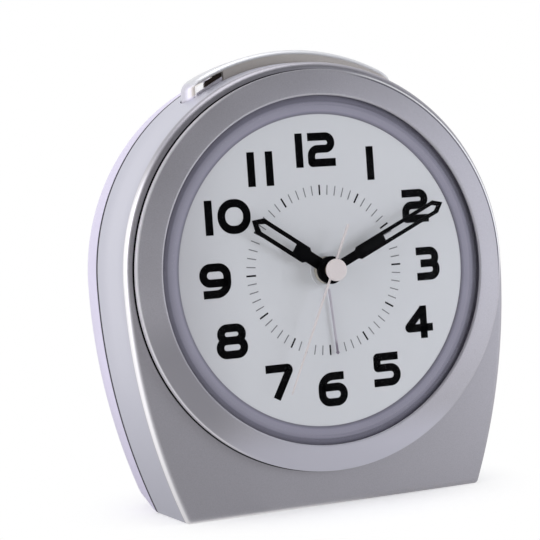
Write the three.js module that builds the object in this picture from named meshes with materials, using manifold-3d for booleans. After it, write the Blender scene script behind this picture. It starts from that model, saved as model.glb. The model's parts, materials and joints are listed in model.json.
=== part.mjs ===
// Quartz alarm clock with a sweep second hand, an alarm hand and a snooze bar.
// Millimetres. X to the right as the dial is read, Y to the back, Z up, origin on the table under the middle.
// Positions along Y are counted from the dial's face.
// The finished group is moved so that its box is centred front to back.
import * as THREE from 'three';
import { mergeVertices } from 'three/addons/utils/BufferGeometryUtils.js';
import Module from 'manifold-3d';

const wasm = await Module();
wasm.setup();

// Clearances
const FIT = 0.3;              // between pieces that slide into or sit against each other
const SEAT = 0.05;            // between flat faces clamped together
const HAND_FIT = 0.1;         // between a hand and its pipe
const THROUGH = 2;            // how far a cutting tool runs past the face it cuts

// Radii of the face, from the dial's stack outwards
const STACK_RADIUS = 49.1;    // dial, surround and lens flange
const BEZEL_HOLD = 1.3;       // how far the bezel's lip reaches over the lens flange
const BEZEL_WIDTH = 7.2;
const CASE_RIM = 2.2;         // case round the bezel
const BEZEL_INNER = STACK_RADIUS - BEZEL_HOLD;
const BEZEL_OUTER = BEZEL_INNER + BEZEL_WIDTH;
const CASE_RADIUS = BEZEL_OUTER + CASE_RIM;   // round upper half of the case

// Case
const DIAL_HEIGHT = 64.5;     // dial centre above the table
const BASE_HALF_WIDTH = 44.5;
const CASE_FRONT = 1;         // case front face behind the dial's face
const FRONT_DEPTH = 24.2;
const CASE_RISE = 2.2;        // how much higher the case's top is at the parting line than at the front
const WALL = 2.2;
const EDGE_ROUND = 1.5;       // round on the case's front edge
const FOOT_ROUND = 1.2;       // round on the lower corners of the front shell
const PARTING_GAP = 0.3;
const REAR_STRAIGHT = 4;
const REAR_ROUND_DEPTH = 18.8;
const REAR_ROUND_INSET = 13;
const REAR_FLOOR_ROUND = 5;
const REAR_FOOT_ROUND = 9;
const LIP_LENGTH = 1.5;
const LIP_WALL = 1.2;

// Bezel, lens and dial
const BEZEL_FRONT = 2.2;      // inner edge of the bezel in front of the dial
const BEZEL_DROP = 0.7;       // fall of the bezel's face from inner to outer edge
const BEZEL_LIP = 0.6;
// The bezel's face from its inner edge, as shares of its width and drop
const BEZEL_PROFILE = [[0, 0], [0.18, -0.06], [0.5, 0.22], [0.88, 0.68], [1, 1]];
const BEZEL_SPIGOT = 0.8;     // wall of the bezel's collar inside the case
const BEZEL_SHADOW = 0.8;     // gap between the bezel's rim and the case front
const LENS_FLANGE = 0.7;
const LENS_FLANGE_WIDTH = 3.1;
const LENS_WALL = 0.9;
const LENS_STEP_RADIUS = STACK_RADIUS - LENS_FLANGE_WIDTH;
const LENS_STEP = 4.6;        // lens shoulder in front of the dial
const LENS_CROWN = 4.8;       // rise of the dome above its shoulder
const SURROUND_SLOPE = 2.35;  // width of the surround's slope
const DIAL_VISIBLE = LENS_STEP_RADIUS - LENS_WALL - SURROUND_SLOPE;   // radius of the dial that shows
const DIAL_THICK = 0.8;
const BACKLIGHT_THICK = 0.6;
const HOLDER_THICK = 2;
const HOLDER_GRIP = 3.9;      // width of the holder's flange round the dial's stack
const HOLDER_FLANGE = STACK_RADIUS + HOLDER_GRIP;
const HOLDER_FLANGE_THICK = 1.7;
const HOLDER_RIM = 2.1;

// Hands, measured from the dial's centre, angles clockwise from twelve
const HAND_THICK = 0.5;
const HOUR_LENGTH = 26.4;
const HOUR_WIDE = 4.7;
const HOUR_NECK = 3.3;
const HOUR_FRAME = 1.15;
const HOUR_ANGLE = 304.2;
const HOUR_STEP = 8;
const HOUR_WINDOW = 11.9;
const HOUR_BOSS = 3.7;
const HOUR_LEVEL = 2.6;
const MINUTE_LENGTH = 39.4;
const MINUTE_WIDE = 3.8;
const MINUTE_NECK = 2.5;
const MINUTE_FRAME = 1.05;
const MINUTE_ANGLE = 65.4;
const MINUTE_STEP = 9.6;
const MINUTE_WINDOW = 18.6;
const MINUTE_BOSS = 3.8;
const MINUTE_LEVEL = 3.8;
const HAND_POINT = 2.6;       // length of the pointed end
const SECOND_LENGTH = 34.6;
const SECOND_TAIL = 13.3;
const SECOND_ANGLE = 204.4;
const SECOND_WIDTH = 0.6;
const SECOND_LEVEL = 5;
const SECOND_CAP = 2.85;
const SECOND_CAP_TALL = 3;
const ALARM_LENGTH = 23.4;
const ALARM_ANGLE = 175.6;
const ALARM_WIDTH = 0.6;
const ALARM_BOSS = 4.8;
const ALARM_LEVEL = 0.7;

// Movement
const MOVEMENT_SIZE = 56;
const MOVEMENT_CORNER = 5;
const MOVEMENT_WALL = 1.4;
const LAYER = 1.6;            // pitch of the gear layers
const GEAR_THICK = 1;
const GEAR_TOP = 0.5;         // first gear layer behind the front plate
const TRAIN_PLATE = 1;        // plate that carries the fast wheels' front pivots
const TRAIN_GAP = 0.4;        // between the train plate and the gear layers beside it
const PILLAR = 2;             // pillars that clamp the train plate
const COVER_ROOM = 1.2;       // room behind the last gear layer
const PIVOT = 0.5;
const SECOND_ARBOR = 1;
const PIPE_WALL = 0.6;
const NECK_WALL = 1;
const EAR_REACH = 7;
const EAR_HALF = 4;
const TOOTH_ADDENDUM = 0.8;
const TOOTH_DEDENDUM = 1.35;
const TOOTH_TIP = 0.07;       // half width of a tooth's tip, as a share of the pitch
const CANNON_TEETH = 10;
const MINUTE_WHEEL_TEETH = 30;
const MINUTE_PINION_TEETH = 8;
const HOUR_WHEEL_TEETH = 32;
const MOTION_MODULE = 0.6;
const SECOND_PINION_TEETH = 6;
const THIRD_WHEEL_TEETH = 45;
const THIRD_PINION_TEETH = 6;
const CENTRE_WHEEL_TEETH = 48;
const THIRD_MODULE = 0.42;
const FIFTH_PINION_TEETH = 6;
const SECOND_WHEEL_TEETH = 36;
const FIFTH_MODULE = 0.52;
const ROTOR_PINION_TEETH = 6;
const FIFTH_WHEEL_TEETH = 30;
const ROTOR_MODULE = 0.4;
const ALARM_TEETH = 24;
const ALARM_MODULE = 0.6;
const TIME_SET_BEARING = 105; // directions of the wheels, clockwise from twelve
const ALARM_SET_BEARING = 255;
const THIRD_BEARING = 10;
const FIFTH_BEARING = 190;
const ROTOR_BEARING = 110;    // seen from the fifth wheel
const SET_ARBOR = 1.5;
const SET_ARBOR_REACH = 4.6;  // length of the setting arbors behind the movement cover
const ROTOR_RADIUS = 2.9;
const ROTOR_TALL = 1.6;
const STATOR_GAP = 0.4;
const STATOR_RIM = 4.4;
const STATOR_BRIDGE = 4;
const STATOR_LEG = 5;
const COIL_LENGTH = 25;
const COIL_SIZE = 5.6;
const COIL_CORNER = 1.2;
const CORE_THICK = 1;
const CORE_WIDTH = 3.6;

// Snooze bar
const BAR_FRONT = 11;
const BAR_DEPTH = 10;
const BAR_HALF = 32;
const BAR_RISE = 4.6;         // crown above the case
const BAR_SINK = 2;           // skirt below the case's surface
const BAR_ROUND = 1.6;
const BAR_WALL = 1.5;
const BAR_TRAVEL = 1.4;
const POCKET_DEPTH = 4.4;
const POCKET_WALL = 2;
const NOTCH_NEAR = 22;        // sides of the notch, to the left of the middle
const NOTCH_FAR = 29.7;
const SENSOR_WINDOW_WIDTH = 4.5;
const SENSOR_WINDOW_THICK = 1.2;
const SENSOR_WINDOW_SET_BACK = 1;
const LEG_OFFSET = 18;
const LEG_SIZE = 3;
const LEG_BARB = 1.1;
const LEG_BARB_TALL = 2;
const PLUNGER = 1.6;
const SPRING_RADIUS = 2.7;
const SPRING_WIRE = 0.6;
const SPRING_TURNS = 5;
const LIGHT_SENSOR_OFFSET = 24.5;
const LIGHT_SENSOR_RADIUS = 2.2;
const LIGHT_SENSOR_TALL = 2.8;

// Circuit board
const BOARD_HALF = 22;
const BOARD_CLEAR = 2;        // between the board and the movement under it
const BOARD_TALL = 9;
const BOARD_LOW = MOVEMENT_SIZE / 2 + BOARD_CLEAR;   // above the dial's centre
const BOARD_HIGH = BOARD_LOW + BOARD_TALL;
const BOARD_THICK = 1.2;
const STANDOFF_OFFSET = 17;
const STANDOFF_RADIUS = 2.5;
const STANDOFF_TALL = 4.6;
const CHIP_SIZE = 6;
const CHIP_OFFSET = 10;
const CHIP_THICK = 1.2;
const CRYSTAL_RADIUS = 1.2;
const CRYSTAL_LENGTH = 6;
const CRYSTAL_OFFSET = -9;
const SNOOZE_SWITCH_HALF = 3.5;
const SNOOZE_SWITCH_TALL = 5;
const SNOOZE_BUTTON = 1.5;
const SNOOZE_BUTTON_TALL = 1.3;

// Side switch
const SWITCH_HEIGHT = 53.5;   // middle of the knob above the table at rest
const SWITCH_BACK = 9.5;      // middle of the knob behind the case front
const SWITCH_KNOB_DEPTH = 3.8;
const SWITCH_KNOB_TALL = 3.8;
const SWITCH_KNOB_REACH = 3.2;
const SWITCH_STEM_DEPTH = 1.6;
const SWITCH_STEM_TALL = 3;
const SWITCH_STEM_LENGTH = 5.6;
const SWITCH_TRAVEL = 4;
const SWITCH_BODY_DEPTH = 6;
const SWITCH_BODY_WIDE = 5.5;
const SWITCH_BODY_MARGIN = 3.6;

// Rear pieces
const BATTERY_RADIUS = 7.25;
const BATTERY_LENGTH = 49.5;
const BATTERY_NUB = 1;
const BATTERY_NUB_RADIUS = 2.7;
const BAY_HALF = 29;
const BAY_LOW = 9;
const BAY_TALL = 16;
const BAY_WALL = 1.6;
const DOOR_THICK = 2;
const DOOR_RIB_COUNT = 4;
const DOOR_RIB_HALF = 5;
const DOOR_RIB = 0.5;
const DOOR_RIB_PITCH = 1.6;
const CONTACT_THICK = 1.1;
const CONTACT_HALF = 5;
const CONTACT_WIRE = 0.8;
const CONTACT_TURNS = 4;
const CONTACT_WIDE = 4.6;
const CONTACT_NARROW = 2.6;
const KNOB_RADIUS = 7.5;
const KNOB_TALL = 6;
const KNOB_GAP = 0.8;
const KNOB_STEM = 2.4;
const KNOB_FLUTES = 20;
const KNOB_FLUTE = 0.5;
const BUZZER_RADIUS = 13;
const BUZZER_TALL = 5.5;
const BUZZER_DROP = 28.2;     // below the top of the case
const BUZZER_HEIGHT = CASE_RADIUS - BUZZER_DROP;   // above the dial's centre
const BUZZER_WALL = 1.5;
const SOUND_HOLE = 1.2;
const SOUND_RINGS = [[0, 1], [4, 5], [8, 8]];   // radius of each ring of holes and how many it has

// Screws
const CASE_SCREW_LOW_ANGLE = 138.05;   // clockwise from the top
const CASE_SCREW_LOW_CLEAR = 3.235;    // between the lower posts and the dial holder
const CASE_SCREW_TOP_ANGLE = 45;
const CASE_SCREW_TOP_SINK = 5;         // axis of the upper screws in from the case's surface
const POST_RADIUS = 3.6;
const CASE_SCREW_SHANK = 1.3;
const CASE_SCREW_HEAD = 2.9;
const CASE_SCREW_HEAD_TALL = 2;
const CASE_SCREW_SEAT = 8.7;           // thickness of the rear boss under the head
const CASE_SCREW_BITE = 9;             // length of the shank in the front post
const SMALL_SCREW_SHANK = 0.9;
const SMALL_SCREW_HEAD = 2;
const SMALL_SCREW_HEAD_TALL = 1.3;
const SMALL_SCREW_TIP = 0.3;           // room in front of a small screw's tip
const SCREW_CROWN = 0.8;               // top of a screw's head, as a share of its radius

// Roundness of turned pieces
const FINE = 48;
const HIDDEN = 32;
const MEDIUM = 24;
const COARSE = 14;
const SMALL = 8;
const ARCH = 96;              // pieces that follow the case's round top
const ROUND_STEPS = 3;        // faces in the round of an edge
const REAR_STEPS = 4;         // faces in the round of the rear shell
const DOME_STEPS = 4;
const OUTLINE_STEPS = [2, 5, 24, 5, 2];   // faces in each arc of the case's outline
const WIRE_STEPS = 9;         // faces along one turn of a spring
const WIRE_SIDES = 3;         // faces in half the section of a spring's wire
const CORNER_STEPS = 2;       // faces in a round corner of a plate
const BAR_END_STEPS = 5;      // faces in a round end of the snooze bar
const WELD = 1e-4;            // corners closer than this are one

// Places along Y that several pieces share
const caseInside = CASE_FRONT + WALL;
const partingFront = CASE_FRONT + FRONT_DEPTH;
const partingRear = partingFront + PARTING_GAP;
const caseBack = partingRear + REAR_STRAIGHT + REAR_ROUND_DEPTH;
const backInside = caseBack - WALL;
const backlightFront = DIAL_THICK + SEAT;
const holderFront = backlightFront + BACKLIGHT_THICK + SEAT;
const holderBack = holderFront + HOLDER_THICK;
const flangeFront = caseInside + FIT;
const flangeBack = flangeFront + HOLDER_FLANGE_THICK;
const plateFront = holderBack + FIT;
const plateBack = plateFront + MOVEMENT_WALL;
const LAYERS = { alarm: 0, hour: 1, cannon: 2, centre: 3, third: 4, second: 5, fifth: 6 };
const trainRoom = 2 * TRAIN_GAP + TRAIN_PLATE - (LAYER - GEAR_THICK);
const layerFront = (index) => plateBack + GEAR_TOP + index * LAYER + (index > LAYERS.cannon ? trainRoom : 0);
const trainFront = layerFront(LAYERS.cannon) + GEAR_THICK + TRAIN_GAP;
const trainBack = trainFront + TRAIN_PLATE;
const coverInside = layerFront(LAYERS.fifth) + GEAR_THICK + COVER_ROOM;
const coverBack = coverInside + MOVEMENT_WALL;
const coverFront = plateBack + FIT;

// Radii of the lens's shoulder and the bezel's collar
const lensShoulder = LENS_STEP_RADIUS - LENS_WALL;
const collarInner = STACK_RADIUS + FIT;
const collarOuter = collarInner + BEZEL_SPIGOT;

// Radii of the pipes that carry the hands, one inside the other
const minuteBore = SECOND_ARBOR + FIT;
const minutePipe = minuteBore + PIPE_WALL;
const hourBore = minutePipe + FIT;
const hourPipe = hourBore + PIPE_WALL;
const alarmBore = hourPipe + FIT;
const alarmPipe = alarmBore + PIPE_WALL;
const neckBore = alarmPipe + FIT;
const neckOuter = neckBore + NECK_WALL;

// Solids

/** Welds a geometry's corners, drops empty triangles and turns its faces outwards. */
function tidy(geometry) {
  const bare = geometry.clone();
  for (const name of Object.keys(bare.attributes)) {
    if (name !== 'position') bare.deleteAttribute(name);
  }
  const welded = mergeVertices(bare, WELD);
  const position = welded.attributes.position;
  const index = [];
  let volume = 0;
  const a = new THREE.Vector3();
  const b = new THREE.Vector3();
  const c = new THREE.Vector3();
  for (let i = 0; i < welded.index.count; i += 3) {
    const [p, q, r] = [0, 1, 2].map((k) => welded.index.getX(i + k));
    if (p === q || q === r || r === p) continue;
    index.push(p, q, r);
    a.fromBufferAttribute(position, p);
    b.fromBufferAttribute(position, q);
    c.fromBufferAttribute(position, r);
    volume += a.dot(b.cross(c));
  }
  if (volume < 0) index.reverse();
  welded.setIndex(index);
  return welded;
}

/** Makes a solid that can be joined and cut from a closed geometry. */
function solid(geometry) {
  const clean = tidy(geometry);
  return new wasm.Manifold(new wasm.Mesh({
    numProp: 3,
    vertProperties: new Float32Array(clean.attributes.position.array),
    triVerts: new Uint32Array(clean.index.array),
  }));
}

/** Turns a solid back into a geometry. */
function geometryOf(body) {
  const mesh = body.getMesh();
  const geometry = new THREE.BufferGeometry();
  geometry.setAttribute('position', new THREE.BufferAttribute(new Float32Array(mesh.vertProperties), 3));
  geometry.setIndex(Array.from(mesh.triVerts));
  return geometry;
}

const join = (...geometries) => geometryOf(geometries.map(solid).reduce((sum, next) => sum.add(next)));
const cut = (base, ...tools) => (
  geometryOf(tools.map(solid).reduce((rest, tool) => rest.subtract(tool), solid(base))));
const common = (first, second) => geometryOf(solid(first).intersect(solid(second)));

/** A block between two corners. */
function block([x0, y0, z0], [x1, y1, z1]) {
  const geometry = new THREE.BoxGeometry(x1 - x0, y1 - y0, z1 - z0);
  return geometry.translate((x0 + x1) / 2, (y0 + y1) / 2, (z0 + z1) / 2);
}

/** A piece turned about a line along Y, from a closed outline of [radius, y] points. */
function turned(profile, segments, [x, z] = [0, DIAL_HEIGHT]) {
  const onAxis = profile[0][0] === 0;
  const points = (onAxis ? profile : [...profile, profile[0]]).map(([r, y]) => new THREE.Vector2(r, y));
  return new THREE.LatheGeometry(points, segments).translate(x, 0, z);
}

/** A round rod along Y. */
function rod(radius, y0, y1, segments, place) {
  return turned([[0, y0], [radius, y0], [radius, y1], [0, y1]], segments, place);
}

/** A round tube along Y. */
function tube(inner, outer, y0, y1, segments, place) {
  return turned([[inner, y0], [outer, y0], [outer, y1], [inner, y1]], segments, place);
}

/** A flat outline in X and Z, carried from y0 to y1. */
function plate(shape, y0, y1, [x, z] = [0, 0]) {
  const geometry = new THREE.ExtrudeGeometry(shape, { depth: y1 - y0, bevelEnabled: false });
  return geometry.rotateX(Math.PI / 2).translate(x, y1, z);
}

/** A flat outline in X and Y, carried from z0 to z1. */
function column(shape, z0, z1) {
  return new THREE.ExtrudeGeometry(shape, { depth: z1 - z0, bevelEnabled: false }).translate(0, 0, z0);
}

/** Angles from nothing to a quarter turn in even steps. */
const quarterTurn = (steps) => Array.from({ length: steps + 1 }, (_, k) => k * Math.PI / 2 / steps);

const shapeOf = (points) => new THREE.Shape(points.map(([x, z]) => new THREE.Vector2(x, z)));

/** A closed skin through outlines that share their number of points, each at its own y. */
function loft(sections) {
  const count = sections[0].points.length;
  const corners = sections.flatMap(({ y, points }) => points.map(([x, z]) => [x, y, z]));
  const index = [];
  for (let s = 0; s + 1 < sections.length; s += 1) {
    for (let i = 0; i < count; i += 1) {
      const near = s * count + i;
      const next = s * count + ((i + 1) % count);
      index.push(near, next, near + count, next, next + count, near + count);
    }
  }
  const last = (sections.length - 1) * count;
  const flat = (points) => points.map(([x, z]) => new THREE.Vector2(x, z));
  for (const [p, q, r] of THREE.ShapeUtils.triangulateShape(flat(sections[0].points), [])) {
    index.push(r, q, p);
  }
  for (const [p, q, r] of THREE.ShapeUtils.triangulateShape(flat(sections.at(-1).points), [])) {
    index.push(last + p, last + q, last + r);
  }
  const geometry = new THREE.BufferGeometry();
  geometry.setAttribute('position', new THREE.Float32BufferAttribute(corners.flat(), 3));
  geometry.setIndex(index);
  return geometry;
}

/** A coil spring of round wire about a line along the given direction. */
function coilSpring({ start, direction, length, from, to, wire, turns }) {
  class Helix extends THREE.Curve {
    getPoint(t, target = new THREE.Vector3()) {
      const angle = 2 * Math.PI * turns * t;
      const radius = from + (to - from) * t;
      return target.set(radius * Math.cos(angle), radius * Math.sin(angle), wire + (length - 2 * wire) * t);
    }
  }
  const section = new THREE.Shape();
  section.absarc(0, 0, wire / 2, 0, 2 * Math.PI);
  const geometry = new THREE.ExtrudeGeometry(section, {
    steps: turns * WIRE_STEPS, curveSegments: WIRE_SIDES, bevelEnabled: false, extrudePath: new Helix(),
  });
  const turn = new THREE.Quaternion().setFromUnitVectors(new THREE.Vector3(0, 0, 1), direction);
  return geometry.applyQuaternion(turn).translate(start.x, start.y, start.z);
}

// Outlines

const sideBow = CASE_RADIUS - BASE_HALF_WIDTH;
const sideRadius = (DIAL_HEIGHT ** 2 + sideBow ** 2) / (2 * sideBow);
const sideCentre = CASE_RADIUS - sideRadius;

/** Half width of the case at a height above the table. */
function halfWidth(height) {
  return sideCentre + Math.sqrt(sideRadius ** 2 - (DIAL_HEIGHT - height) ** 2);
}

/** How far the case's top is above its round at the front, at a place along Y. */
function riseAt(y) {
  return CASE_RISE * THREE.MathUtils.clamp((y - CASE_FRONT) / FRONT_DEPTH, 0, 1);
}

/** The case cut at a place along Y: round above the dial's centre, bowed sides below, flat foot. */
function caseOutline(y, inset, floor, foot) {
  const radius = sideRadius - inset;
  const drop = DIAL_HEIGHT - floor - foot;
  const footX = sideCentre + Math.sqrt((radius - foot) ** 2 - drop ** 2);
  const sideEnd = Math.asin(drop / (radius - foot));
  const shape = new THREE.Shape();
  shape.absarc(footX, floor + foot, foot, -Math.PI / 2, -sideEnd, false);
  shape.absarc(sideCentre, DIAL_HEIGHT, radius, -sideEnd, 0, false);
  shape.absarc(0, DIAL_HEIGHT, CASE_RADIUS - inset, 0, Math.PI, false);
  shape.absarc(-sideCentre, DIAL_HEIGHT, radius, Math.PI, Math.PI + sideEnd, false);
  shape.absarc(-footX, floor + foot, foot, Math.PI + sideEnd, 1.5 * Math.PI, false);
  const points = shape.curves
    .filter((curve) => curve.isEllipseCurve)
    .flatMap((curve, k) => curve.getPoints(OUTLINE_STEPS[k]).slice(k === 0 ? 0 : 1));
  const stretch = riseAt(y) / CASE_RADIUS;
  return points.map((point) => [point.x, point.y + stretch * Math.max(0, point.y - DIAL_HEIGHT)]);
}

/** A closed band inside the case's outline, from y0 to y1. */
function caseBand(outerInset, innerInset, y0, y1) {
  const ring = (inset, from, to) => loft([from, to].map((y) => (
    { y, points: caseOutline(y, inset, inset, FOOT_ROUND) })));
  return cut(ring(outerInset, y0, y1), ring(innerInset, y0 - THROUGH, y1 + THROUGH));
}

/** The outline of a wheel with wedge teeth, one tooth pointing along the given angle. */
function gearShape(teeth, module, phase) {
  const pitchRadius = teeth * module / 2;
  const pitch = 2 * Math.PI / teeth;
  const root = pitchRadius - TOOTH_DEDENDUM * module;
  const tip = pitchRadius + TOOTH_ADDENDUM * module;
  const points = [];
  for (let k = 0; k < teeth; k += 1) {
    const middle = phase + k * pitch;
    for (const [radius, angle] of [
      [root, middle - pitch / 2], [tip, middle - TOOTH_TIP * pitch], [tip, middle + TOOTH_TIP * pitch],
    ]) {
      points.push([radius * Math.cos(angle), radius * Math.sin(angle)]);
    }
  }
  return shapeOf(points);
}

/** A rectangle with round corners, centred. */
function roundedRectangle(width, height, corner) {
  const shape = new THREE.Shape();
  const [x, y] = [width / 2 - corner, height / 2 - corner];
  shape.absarc(x, y, corner, 0, Math.PI / 2, false);
  shape.absarc(-x, y, corner, Math.PI / 2, Math.PI, false);
  shape.absarc(-x, -y, corner, Math.PI, 1.5 * Math.PI, false);
  shape.absarc(x, -y, corner, 1.5 * Math.PI, 2 * Math.PI, false);
  return shapeOf(shape.getPoints(CORNER_STEPS).map((point) => [point.x, point.y]));
}

/** The snooze bar seen from above: straight sides and round ends. */
function barPlan(grow) {
  const radius = BAR_DEPTH / 2;
  const middle = BAR_FRONT + radius;
  const shape = new THREE.Shape();
  shape.absarc(BAR_HALF - radius, middle, radius + grow, -Math.PI / 2, Math.PI / 2, false);
  shape.absarc(-(BAR_HALF - radius), middle, radius + grow, Math.PI / 2, 1.5 * Math.PI, false);
  return shapeOf(shape.getPoints(BAR_END_STEPS).map((point) => [point.x, point.y]));
}

// Places of the wheels in X and Z

/** A place at a distance from another, in a direction given clockwise from twelve. */
function placeFrom([x, z], distance, bearing) {
  const angle = THREE.MathUtils.degToRad(bearing);
  return [x + distance * Math.sin(angle), z + distance * Math.cos(angle)];
}

const meshDistance = (first, second, module) => (first + second) * module / 2;
const angleTo = ([x0, z0], [x1, z1]) => Math.atan2(z1 - z0, x1 - x0);

const centre = [0, DIAL_HEIGHT];
const motionDistance = meshDistance(CANNON_TEETH, MINUTE_WHEEL_TEETH, MOTION_MODULE);
const hourModule = 2 * motionDistance / (MINUTE_PINION_TEETH + HOUR_WHEEL_TEETH);
const thirdDistance = meshDistance(SECOND_PINION_TEETH, THIRD_WHEEL_TEETH, THIRD_MODULE);
const centreModule = 2 * thirdDistance / (THIRD_PINION_TEETH + CENTRE_WHEEL_TEETH);
const timeSetPlace = placeFrom(centre, motionDistance, TIME_SET_BEARING);
const alarmSetPlace = placeFrom(
  centre, meshDistance(ALARM_TEETH, ALARM_TEETH, ALARM_MODULE), ALARM_SET_BEARING);
const thirdPlace = placeFrom(centre, thirdDistance, THIRD_BEARING);
const fifthPlace = placeFrom(
  centre, meshDistance(FIFTH_PINION_TEETH, SECOND_WHEEL_TEETH, FIFTH_MODULE), FIFTH_BEARING);
const rotorPlace = placeFrom(
  fifthPlace, meshDistance(ROTOR_PINION_TEETH, FIFTH_WHEEL_TEETH, ROTOR_MODULE), ROTOR_BEARING);

/** A gear in a layer. A driver has a tooth on the line to its mate, a driven wheel has a gap there. */
function gear({ teeth, module, layer, place, mate, driver }) {
  const phase = angleTo(place, mate) + (driver ? 0 : Math.PI / teeth);
  return plate(gearShape(teeth, module, phase), layerFront(layer), layerFront(layer) + GEAR_THICK, place);
}

// Materials
const finish = (color, roughness, metalness) => (
  new THREE.MeshStandardMaterial({ color, roughness, metalness }));
const FINISHES = {
  silver: finish(0xa3a3a6, 0.4, 0.55),
  silverPale: finish(0xb9b8c4, 0.4, 0.5),
  surround: finish(0x8f8ca0, 0.45, 0.2),
  lens: finish(0xf4f6fa, 0.05, 0),
  dial: finish(0xe4e6e8, 0.7, 0),
  backlight: finish(0xbfe8c8, 0.6, 0),
  black: finish(0x0d0d0e, 0.35, 0),
  secondHand: finish(0xe8dede, 0.5, 0),
  alarmHand: finish(0x9a8f9c, 0.5, 0),
  smoked: finish(0x2a1d18, 0.2, 0),
  nylon: finish(0xe9e6dc, 0.6, 0),
  brass: finish(0xb8964a, 0.35, 0.9),
  steel: finish(0x9ea1a5, 0.35, 0.9),
  copper: finish(0xa35a2c, 0.4, 0.7),
  board: finish(0x2f6a3a, 0.6, 0),
  darkPlastic: finish(0x2b2b2e, 0.5, 0),
  battery: finish(0x33373c, 0.35, 0.3),
};

const clock = new THREE.Group();

/** Adds one named piece with a material of its own. */
function add(name, geometry, material) {
  const mesh = new THREE.Mesh(tidy(geometry), material.clone());
  mesh.name = name;
  clock.add(mesh);
}

// Places of the case screws in X and Z, right then left
const CASE_SCREW_LOW = placeFrom(
  centre, HOLDER_FLANGE + CASE_SCREW_LOW_CLEAR + POST_RADIUS, CASE_SCREW_LOW_ANGLE);
const topScrewRadius = CASE_RADIUS - CASE_SCREW_TOP_SINK;
const topScrew = placeFrom(centre, topScrewRadius, CASE_SCREW_TOP_ANGLE);
const caseScrews = [
  CASE_SCREW_LOW, [-CASE_SCREW_LOW[0], CASE_SCREW_LOW[1]], topScrew, [-topScrew[0], topScrew[1]],
];
const postEnd = partingFront - LIP_LENGTH - FIT;
const bossFront = partingFront - LIP_LENGTH;
const screwSeat = bossFront + CASE_SCREW_SEAT;
const screwHole = CASE_SCREW_SHANK + FIT;

// Snooze bar radii and heights
const barTop = CASE_RADIUS + BAR_RISE;
const barUnder = CASE_RADIUS - BAR_SINK;
const barRoof = barTop - BAR_WALL;
const pocketFloor = CASE_RADIUS - POCKET_DEPTH;
const pocketUnder = pocketFloor - POCKET_WALL;
const barMiddle = BAR_FRONT + BAR_DEPTH / 2;
const barBack = BAR_FRONT + BAR_DEPTH;
const heightOn = (radius, x) => DIAL_HEIGHT + Math.sqrt(radius ** 2 - x ** 2);
const switchTop = DIAL_HEIGHT + BOARD_HIGH + SNOOZE_SWITCH_TALL / 2;
const plungerEnd = switchTop + SNOOZE_BUTTON_TALL + FIT + BAR_TRAVEL;
const skyHeight = DIAL_HEIGHT + barTop + THROUGH;

/** A ring about the dial's axis, kept only under the given plan, for the bar, its pocket and its hollow. */
function arched(profile, plan) {
  return common(turned(profile, ARCH), column(plan, DIAL_HEIGHT + BOARD_LOW, skyHeight));
}

/** Square holes in the pocket's floor for the bar's legs and round ones for plunger and light sensor. */
function pocketHoles() {
  const half = LEG_SIZE / 2 + FIT;
  const low = DIAL_HEIGHT + BOARD_LOW;
  const legHoles = [-LEG_OFFSET, LEG_OFFSET].map((x) => (
    block([x - half, barMiddle - half, low], [x + half, barMiddle + half, skyHeight])));
  const upright = (radius, x) => new THREE.CylinderGeometry(radius, radius, skyHeight - low, COARSE)
    .rotateX(Math.PI / 2).translate(x, barMiddle, (low + skyHeight) / 2);
  return [...legHoles, upright(PLUNGER + FIT, 0), upright(LIGHT_SENSOR_RADIUS + FIT, -LIGHT_SENSOR_OFFSET)];
}

// Side switch places
const switchY = CASE_FRONT + SWITCH_BACK;
const switchWallX = halfWidth(SWITCH_HEIGHT);
const slotHalfY = SWITCH_STEM_DEPTH / 2 + FIT;
const slotLow = SWITCH_HEIGHT - SWITCH_STEM_TALL / 2 - FIT;
const slotHigh = SWITCH_HEIGHT + SWITCH_TRAVEL + SWITCH_STEM_TALL / 2 + FIT;

function buildFrontCase() {
  const skin = loft([
    ...quarterTurn(ROUND_STEPS).map((angle) => {
      const inset = EDGE_ROUND * (1 - Math.sin(angle));
      const y = CASE_FRONT + EDGE_ROUND * (1 - Math.cos(angle));
      return { y, points: caseOutline(y, inset, inset, FOOT_ROUND) };
    }),
    { y: partingFront, points: caseOutline(partingFront, 0, 0, FOOT_ROUND) },
  ]);
  const inside = loft([caseInside, partingFront, partingFront + THROUGH].map((y) => (
    { y, points: caseOutline(y, WALL, WALL, FOOT_ROUND) })));
  const opening = rod(collarOuter + FIT, CASE_FRONT - THROUGH, caseInside + THROUGH, FINE);
  const shell = cut(skin, inside, opening);
  const posts = caseScrews.map((place, k) => rod(POST_RADIUS, k < 2 ? caseInside - FIT : flangeBack + FIT,
    postEnd, SMALL, place));
  const wellFront = BAR_FRONT - POCKET_WALL - FIT;
  const wellBack = barBack + POCKET_WALL + FIT;
  const wellTop = CASE_RADIUS + (riseAt(wellFront) + riseAt(wellBack) - WALL) / 2;
  const well = arched([
    [pocketUnder, wellFront], [wellTop, wellFront], [wellTop, wellBack], [pocketUnder, wellBack],
  ], barPlan(POCKET_WALL + FIT));
  const pocket = arched([
    [pocketFloor, BAR_FRONT - THROUGH], [barTop, BAR_FRONT - THROUGH],
    [barTop, barBack + THROUGH], [pocketFloor, barBack + THROUGH],
  ], barPlan(FIT));
  const pilots = caseScrews.map((place) => rod(screwHole, screwSeat - CASE_SCREW_SEAT - CASE_SCREW_BITE - FIT,
    partingFront, SMALL, place));
  const slot = block([switchWallX - 2 * WALL, switchY - slotHalfY, slotLow],
    [switchWallX + THROUGH, switchY + slotHalfY, slotHigh]);
  const whole = join(shell, well, ...posts);
  add('front_case', cut(whole, pocket, slot, ...pocketHoles(), ...pilots), FINISHES.silver);
}

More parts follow.
